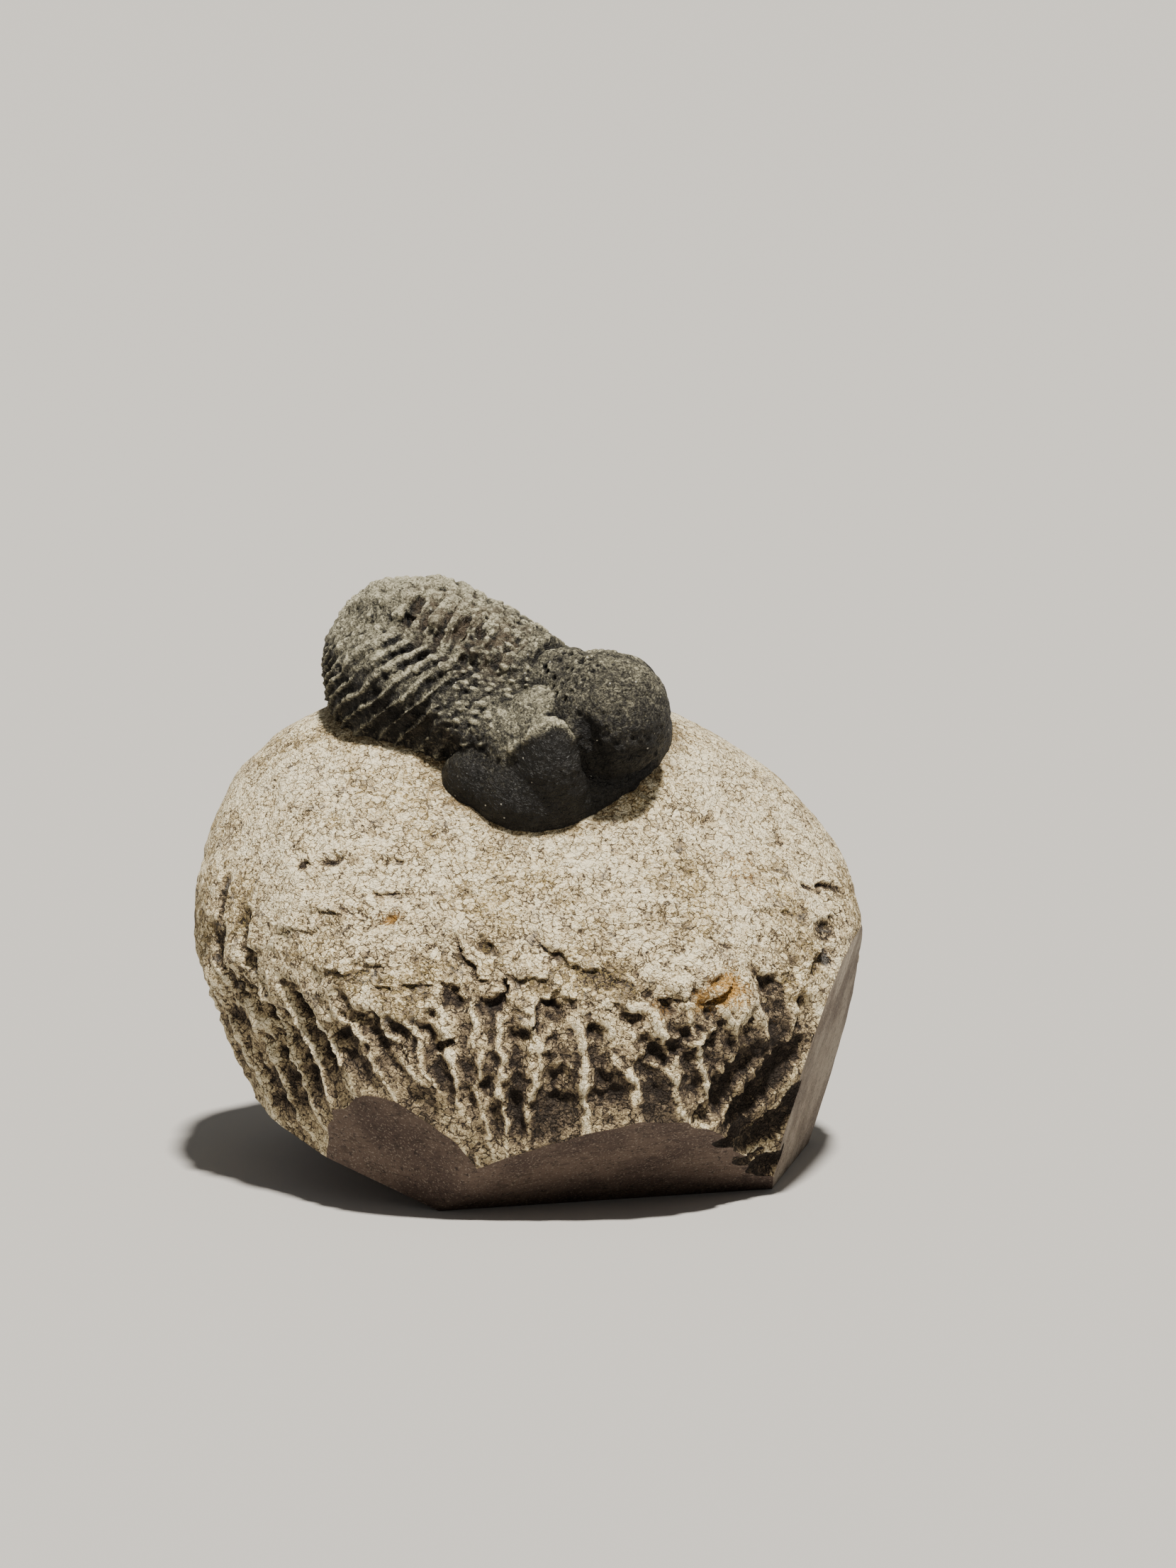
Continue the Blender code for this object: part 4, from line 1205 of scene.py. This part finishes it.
    def leaning_up(self, roll: Array) -> Array:
        """Find the upward direction of a body that rolls to its right.

        Args:
            roll: Degrees.

        Returns:
            Unit rows.
        """
        turn, tilt = math.radians(self.heading), np.radians(roll)
        aside = np.sin(tilt)
        return np.stack((-math.sin(turn) * aside, -math.cos(turn) * aside, np.cos(tilt)), -1)

    def frames(self, stations: Array) -> tuple[Array, Array, Array, Array]:
        """Find the body's middle and directions.

        Args:
            stations: Lengths from the spine's start.

        Returns:
            Middle, forward, right and up at each station.
        """
        middle = self.line(stations)
        ahead = unit(self.line(stations - 1.5) - self.line(stations + 1.5))
        lean = self.leaning_up(np.interp(stations, self.stations, self.rolls))
        upward = unit(lean - ahead * np.sum(lean * ahead, axis=1, keepdims=True))
        return middle, ahead, np.cross(ahead, upward), upward

    def head_axes(self) -> Array:
        """Find the head's forward, right and up directions.

        Returns:
            Three unit rows.
        """
        turn, pitch = math.radians(self.heading), math.radians(self.head_pitch)
        ahead = np.array((math.cos(turn), -math.sin(turn), 0.0)) * math.cos(pitch)
        ahead[2] = -math.sin(pitch)
        lean = self.leaning_up(np.array(self.head_roll))
        upward = unit(lean - ahead * np.dot(lean, ahead))
        return np.stack((ahead, np.cross(ahead, upward), upward))

    @staticmethod
    def lobe_reach(origins: Array, ways: Array, middle: Array, half: Array, axes: Array) -> Array:
        """Find how far along each ray an ellipsoid reaches.

        Args:
            origins: Where the rays start.
            ways: Unit directions of the rays.
            middle: The ellipsoid's middle.
            half: Its half sizes.
            axes: Its axes as rows.

        Returns:
            The reach, or 0 where a ray misses it.
        """
        start = ((origins - middle) @ axes.T) / half
        course = (ways @ axes.T) / half
        square = np.sum(course * course, axis=1)
        cross = np.sum(start * course, axis=1)
        inside = cross ** 2 - square * (np.sum(start * start, axis=1) - 1.0)
        reach = (-cross + np.sqrt(np.clip(inside, 0.0, None))) / square
        return np.where(inside > 0.0, np.clip(reach, 0.0, None), 0.0)

    def trunk(self, station: Array, forward: Array, lateral: Array, height: Array,
              half_width: Array) -> Array:
        """Measure the ringed body without its head.

        Args:
            station: Length along the spine of each ray.
            forward: Forward share of each ray.
            lateral: Sideways share of each ray.
            height: Upward share of each ray.
            half_width: The body's half width there.

        Returns:
            The blended reach, raised to the blend power.
        """
        lobe = np.interp(station, self.stations, self.heights)
        cap = np.where(forward > 0.0, self.head_cap, self.tail_cap)
        tall = np.where(height > 0.0, lobe, self.body_depth)
        square = np.where(height > 0.0, self.body_squareness, self.wall_squareness)
        plan = (np.abs(forward) / cap) ** self.plan_squareness
        plan = plan + (np.abs(lateral) / half_width) ** self.plan_squareness
        sides = plan ** (square / self.plan_squareness) + (np.abs(height) / tall) ** square
        sides = sides ** (-1.0 / square)
        square = self.axis_squareness
        tall = np.where(height > 0.0, lobe + self.axis_rise, self.body_depth)
        ridge = (np.abs(lateral) / (half_width * self.axis_share)) ** square
        ridge = ridge + (np.abs(forward) / (cap * self.axis_cap_share)) ** square
        ridge = ridge + (np.abs(height) / tall) ** square
        ridge = ridge ** (-1.0 / square)
        return sides ** self.blend + ridge ** self.blend

    def rings(self, points: Array, station: Array, lateral: Array, height: Array,
              half_width: Array) -> tuple[Array, Array, Array]:
        """Shape the rings and ribs across the body.

        Args:
            points: Rows of places on the plain body.
            station: Length along the animal.
            lateral: Distance from its middle line, positive on its right.
            height: Height over the spine.
            half_width: The body's half width there.

        Returns:
            The rise and fall in millimetres, the share of furrow, and the rings counted.
        """
        edge = self.axis_share * half_width
        aside = np.abs(lateral)
        outward = np.clip(aside - edge, 0.0, None) + np.clip(4.0 - height, 0.0, None) * 0.7
        outward = outward * ramp(aside / edge, 0.8, 1.2)
        sweep = np.interp(station, (18.0, 36.0), (0.45, 0.95))
        phase = (station - sweep * outward - self.ring_start) / self.ring_pitch
        phase = phase + 0.10 * NOISE.lumps(points, 3.2, 51) + 0.05 * NOISE.lumps(points, 1.4, 52)
        across = np.mod(phase, 1.0)
        groove = np.exp(-((np.minimum(across, 1.0 - across)) / self.ring_groove_width) ** 2)
        flank = ramp(lateral, 4.5, 7.5) * ramp(-height, -7.5, -4.0) * ramp(station, 20.0, 25.0)
        furrow = 1.0 - np.exp(-(np.abs(across - 0.5) / 0.13) ** 1.5)
        groove = groove * (1.0 - flank) + 1.15 * furrow * flank
        present = ramp(phase, 0.0, 0.3) * ramp(self.ring_count - phase, 0.0, 0.6)
        fade = 1.0 - 0.75 * ramp(station, 28.0, 33.0) * ramp(height, 3.0, 6.0)
        fade = fade * (0.62 + 0.38 * NOISE.lumps(points, 3.0, 53)) * np.where(lateral < 0.0, 0.7, 1.0)
        front = 1.0 - 0.30 * ramp(-station, -24.0, -17.0) * ramp(aside / edge, 0.9, 1.3)
        worn_down = np.interp(station, (14.0, 21.0, 25.0), (0.40, 0.5, 1.0))
        cut = groove * present * np.clip(fade, 0.1, 1.0) * front * worn_down
        return -self.ring_groove * cut, cut, phase

    def shape(self, share: Array, turn: Array) -> tuple[Array, dict[str, Array]]:
        """Shape the animal's skin.

        Args:
            share: 0 at the brow's pole to 1 at the tail's pole, per vertex.
            turn: Angle round the body, 0 at the top and positive on its right.

        Returns:
            Rows of places, and the body coordinates that the detail needs.
        """
        head_end, tail_start = 0.40, 0.72
        lean = np.interp(share, (0.0, head_end, tail_start, 1.0), (0.0, 90.0, 90.0, 180.0))
        lean = np.radians(lean)[:, None]
        station = np.interp(share, (0.0, head_end, tail_start, 1.0),
                            (self.head_station, self.head_station, self.tail_station, self.tail_station))
        middle, ahead, right, upward = self.frames(station)
        aside = right * np.sin(turn)[:, None] + upward * np.cos(turn)[:, None]
        ways = ahead * np.cos(lean) + aside * np.sin(lean)
        forward = np.sum(ways * ahead, axis=1)
        lateral = np.sum(ways * right, axis=1)
        height = np.sum(ways * upward, axis=1)
        half_width = np.interp(station, self.stations, self.half_widths)
        half_width = half_width * np.where(lateral < 0.0, self.far_side_share, 1.0)
        body = self.trunk(station, forward, lateral, height, half_width)
        total = body.copy()
        parts = {kind: np.zeros(len(share)) for kind in ("brow", "collar", "cheek", "slope", "eye")}
        axes = self.head_axes()
        for kind, place, half in self.lobes:
            centre = np.array(self.brow) + np.array(place) @ axes
            lobe = self.lobe_reach(middle, ways, centre, np.array(half), axes) ** self.blend
            parts[kind] += lobe
            total += lobe
        parts = {kind: value / total for kind, value in parts.items()}
        clear = (body / total) ** 2
        reach = total ** (1.0 / self.blend)
        behind = station + np.arcsin(np.clip(-forward, 0.0, 1.0)) * self.tail_arc
        plain = middle + ways * reach[:, None]
        relief, cut, phase = self.rings(plain, behind, lateral * reach, height * reach, half_width)
        reach = reach + clear * relief
        points = middle + ways * reach[:, None]
        parts.update(behind=behind, side=lateral * reach, tall=height * reach, cut=cut, phase=phase,
                     clear=clear)
        return points, parts

    @staticmethod
    def from_course(places: Array, course: Sequence[Triple]) -> Array:
        """Measure how far places lie from a bent line.

        Args:
            places: Rows of places.
            course: The line's points.

        Returns:
            The distance of each place.
        """
        near = np.full(len(places), 1e9)
        for start, end in zip(np.array(course[:-1]), np.array(course[1:])):
            way = end - start
            share = np.clip((places - start) @ way / (way @ way), 0.0, 1.0)
            near = np.minimum(near, np.linalg.norm(places - start - share[:, None] * way, axis=1))
        return near

    def detail(self, points: Array, parts: dict[str, Array], up: Array) -> tuple[Array, dict[str, Array]]:
        """Work the fine relief out: tubercles, pits, the eye's lid and worn plates.

        Args:
            points: Rows of places on the plain skin.
            parts: Body coordinates of the same places.
            up: How far the skin faces up there.

        Returns:
            Outward millimetres to add, and the finish's masks.
        """
        clear, brow, eye, cheek = parts["clear"], parts["brow"], parts["eye"], parts["cheek"]
        station, side, tall = parts["behind"], parts["side"], parts["tall"]
        axes = self.head_axes()
        local = (points - np.array(self.brow)) @ axes.T
        lid = np.exp(-(self.from_course(local, self.lid) / 0.6) ** 2)
        deep = np.exp(-(self.from_course(local, self.furrow) / 1.0) ** 2)
        low_eye = eye * (1.0 - lid) * ramp(local[:, 0] - 1.1 * local[:, 2], -4.6, -2.2)
        low_cheek = cheek * ramp(-local[:, 2], 0.8, 3.8)
        # the smooth lower cheek and eye: smoother, glossier skin that the finish also darkens as painted shade
        smooth_and_shaded = np.clip(low_cheek * 0.7 + low_eye, 0.0, 1.0)
        rough = 1.0 - 0.75 * smooth_and_shaded
        grit, which = NOISE.cells(points, 0.95, 4)
        tubercle = ramp(-grit, -0.55, -0.15) * np.where(which > 0.3, 1.0, 0.3)
        grainy = 0.20 * clear + 0.04 * brow + 0.16 * parts["collar"] + 0.16 * parts["slope"]
        lift = (grainy + 0.10 * eye * rough + 0.08 * cheek * rough) * tubercle
        rows, _ = NOISE.cells(np.stack((parts["phase"], side / 0.85, tall / 0.85), axis=1), 1.0, 9)
        grains = clear * ramp(-station, -25.0, -21.0) * ramp(-rows, -0.55, -0.15)
        lift = lift + 0.34 * grains
        pit, chance = NOISE.cells(points, 1.1, 6)
        cluster = brow * ramp(-local[:, 0], -2.0, 4.0) * ramp(local[:, 1], -4.0, 0.0)
        upper = ramp(local[:, 2], -4.0, 1.0)
        hole = ramp(-pit, -0.44, -0.16)
        lift = lift - hole * (0.16 * brow * (chance > 0.35) * (0.3 + 0.7 * upper) + 0.36 * cluster)
        middle_line = np.exp(-((side + 0.6) / 4.6) ** 4)
        worn = clear * middle_line * ramp(station, 15.5, 18.5) * ramp(-station, -32.0, -28.0)
        folds = np.stack((station / 0.8, side / 2.8, tall / 2.8), axis=1)
        shards = NOISE.layers(folds, 1.0, 61, 2)
        lift = lift + 0.42 * worn * shards - 0.35 * worn * parts["cut"]
        hollow, kind = NOISE.cells(np.stack((station / 1.5, side / 2.6, tall / 2.6), axis=1), 1.0, 8)
        broken = worn * ramp(-hollow, -0.55, -0.25) * (kind > 0.62)
        lift = lift - 0.85 * broken
        under = clear * ramp(side, 6.0, 8.5) * ramp(-tall, -1.5, 1.0) * ramp(-station, -25.0, -20.0)
        lift = lift - 0.55 * under * ramp(NOISE.lumps(points, 2.2, 64), -0.1, 0.5)
        lift = lift + (0.05 + 0.13 * rough) * NOISE.layers(points, 1.9, 62, 2)
        lift = lift + (0.02 + 0.07 * rough) * NOISE.lumps(points, 0.62, 66)
        fold = 4.0 * brow * (cheek + eye) * ramp(-local[:, 2], 0.0, 3.0)
        lift = lift - 0.15 * low_eye - 0.45 * fold + 1.2 * brow * parts["slope"] + 0.9 * eye * cheek
        lift = lift + 0.32 * lid * (0.7 + 0.6 * NOISE.lumps(points, 0.9, 74)) - 0.9 * deep * (brow + eye)
        crown = clear * ramp(tall, 3.0, 7.0) * ramp(station, 20.0, 24.0)
        lift = lift + 0.42 * crown * NOISE.layers(points, 2.6, 70, 2)
        bare = np.zeros(len(points))
        for place, size, depth in self.hollows:
            near = np.exp(-(np.linalg.norm(points - np.array(place), axis=1) / size) ** 2)
            near = near * (0.75 + 0.5 * NOISE.lumps(points, 1.3, 71))
            lift = lift - depth * near
            worn = np.maximum(worn, 0.8 * near)
        for place, size, depth in self.plates:
            near = np.exp(-(np.linalg.norm(points - np.array(place), axis=1) / size) ** 4)
            bare = np.maximum(bare, near * ramp(NOISE.layers(points, 1.6, 72, 2), -0.15, 0.1))
            lift = lift + depth * near * NOISE.lumps(points, 1.1, 73)
        rim = cheek * np.exp(-((local[:, 2] + 13.2) / 0.9) ** 2)
        lift = lift + 0.25 * rim
        # shell tone, dark where high. Painted shade: the lower brow, the smooth lower cheek and eye, the cheek, the
        # brow, the ring grooves, the brow's folds and the eye's furrow. Painted highlight: the lid's crest and the
        # raised granule rows. The bare plates are lighter shell of their own.
        shaded = ramp(-local[:, 2], -3.5, 2.5)
        tone = 0.42 + 0.34 * brow * shaded + 0.34 * smooth_and_shaded + 0.14 * cheek - 0.12 * clear
        tone = tone + 0.35 * parts["cut"] * clear + 0.4 * fold + 0.5 * deep - 0.45 * bare - 0.22 * lid
        tone = tone + clear * ramp(-station, -25.0, -21.0) * 0.16 - 0.22 * grains
        # skin that faces up is lighter, skin that faces down and the body's lower side darker: painted top light and
        # painted shade, though the lighter share is named dust
        dust = (0.06 + 0.15 * clear * ramp(station, 23.0, 29.0)) * ramp(up, 0.25, 0.9)
        tone = tone - dust * (1.0 - 0.6 * smooth_and_shaded) + 0.24 * ramp(-up, -0.45, 0.25) + 0.08 * brow
        tone = tone + 0.12 * clear * ramp(-tall, -3.0, 0.0) - 0.06 * parts["slope"]
        dusty = 0.55 * clear * ramp(-tall, -3.0, 1.5) + 0.25 * worn
        masks = {"smooth_and_shaded": 0.8 * smooth_and_shaded, "worn": worn, "tone": tone, "dusty": dusty}
        return lift, masks

    def build(self) -> bpy.types.Object:
        """Model the fossil and give it its finish.

        Returns:
            The finished piece.
        """
        bpy.ops.object.select_all(action="DESELECT")
        bpy.ops.mesh.primitive_uv_sphere_add(segments=self.columns, ring_count=self.rows, radius=1.0)
        piece = bpy.context.active_object
        piece.name = self.name
        mesh = piece.data
        mesh.name = self.name
        ball = coordinates(mesh)
        share = np.arccos(np.clip(ball[:, 2], -1.0, 1.0)) / math.pi
        phi = np.arctan2(ball[:, 0], ball[:, 1])
        turn = np.radians(np.interp(np.degrees(phi), (-180.0, -158.0, 158.0, 180.0),
                                    (-180.0, -112.0, 122.0, 180.0)))
        points, parts = self.shape(share, turn)
        place_vertices(mesh, points)
        normals = vertex_normals(mesh)
        inward = np.sum(normals * (points - points.mean(axis=0)), axis=1).mean() < 0.0
        if inward:
            only(piece)
            bpy.ops.object.mode_set(mode="EDIT")
            bpy.ops.mesh.select_all(action="SELECT")
            bpy.ops.mesh.flip_normals()
            bpy.ops.object.mode_set(mode="OBJECT")
            normals = -normals
        lift, masks = self.detail(points, parts, normals[:, 2])
        edges = mesh_edges(mesh)
        total = points + normals * lift[:, None]
        smooth_points = np.stack([smoothed(total[:, axis], edges, 10) for axis in range(3)], axis=1)
        relief = np.sum((total - smooth_points) * normals, axis=1)
        # hollows of the relief darker and raised parts lighter: painted shade in hollows and painted highlight on
        # crests
        masks["tone"] += 0.55 * ramp(-relief, 0.02, 0.22) - 0.34 * ramp(relief, 0.02, 0.18)
        for name, values in masks.items():
            keep_mask(mesh, name, values)
        place_vertices(mesh, (total + CENTRE_SHIFT) * MM)
        self.skin = total
        mesh.materials.append(ShellFinish().make())
        only(piece)
        bpy.ops.object.shade_smooth()
        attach(piece, ROOT)
        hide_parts(self.node)
        return piece


@dataclass
class Studio:
    """Pale floor, soft lights and the camera."""

    floor_radius: float = 14.0
    target: Triple = (6.47, -12.0, 44.4)
    distance: float = 600.0
    elevation: float = 9.0
    lens: float = 127.5
    sensor: float = 36.0
    ambient: float = 0.20
    sun_from: Triple = (0.10, -0.32, 0.94)
    sun_power: float = 7.4
    sun_angle: float = 5.0
    sun_colour: Triple = (1.0, 0.955, 0.88)

    def floor(self) -> None:
        """Lay the floor as a wide round sheet."""
        bpy.ops.object.select_all(action="DESELECT")
        bpy.ops.mesh.primitive_circle_add(vertices=96, radius=self.floor_radius, fill_type="NGON")
        sheet = bpy.context.active_object
        sheet.name = "floor"
        sheet.data.materials.append(PaperFinish().make())

    def light(self) -> None:
        """Hang the lamps and set the even light of the room."""
        lamp = bpy.data.lights.new("key", "SUN")
        lamp.energy = self.sun_power
        lamp.angle = math.radians(self.sun_angle)
        lamp.color = self.sun_colour
        holder = bpy.data.objects.new("key", lamp)
        bpy.context.scene.collection.objects.link(holder)
        holder.rotation_euler = Vector(self.sun_from).to_track_quat("Z", "Y").to_euler()
        world = bpy.data.worlds.new("room")
        world.use_nodes = True
        back = world.node_tree.nodes["Background"]
        back.inputs["Color"].default_value = (1.0, 0.985, 0.96, 1.0)
        back.inputs["Strength"].default_value = self.ambient
        bpy.context.scene.world = world

    def camera(self) -> None:
        """Set the camera at the photograph's angle."""
        lens = bpy.data.cameras.new("camera")
        lens.lens = self.lens
        lens.sensor_width = self.sensor
        lens.clip_start, lens.clip_end = 0.05, 60.0
        holder = bpy.data.objects.new("camera", lens)
        bpy.context.scene.collection.objects.link(holder)
        rise = math.radians(self.elevation)
        back = Vector((0.0, -math.cos(rise), math.sin(rise)))
        holder.location = (Vector(self.target) + back * self.distance) * MM
        holder.rotation_euler = (-back).to_track_quat("-Z", "Y").to_euler()
        bpy.context.scene.camera = holder


def main() -> None:
    """Build the pieces in order and note the model's size."""
    logging.basicConfig(level=logging.INFO, format="%(message)s")
    fossil = Trilobite()
    piece = fossil.build()
    LOG.info("%s: %d faces", piece.name, len(piece.data.polygons))
    piece = MatrixStone().build(fossil.skin)
    LOG.info("%s: %d faces", piece.name, len(piece.data.polygons))
    studio = Studio()
    studio.floor()
    studio.light()
    studio.camera()


if __name__ == "__main__":
    main()
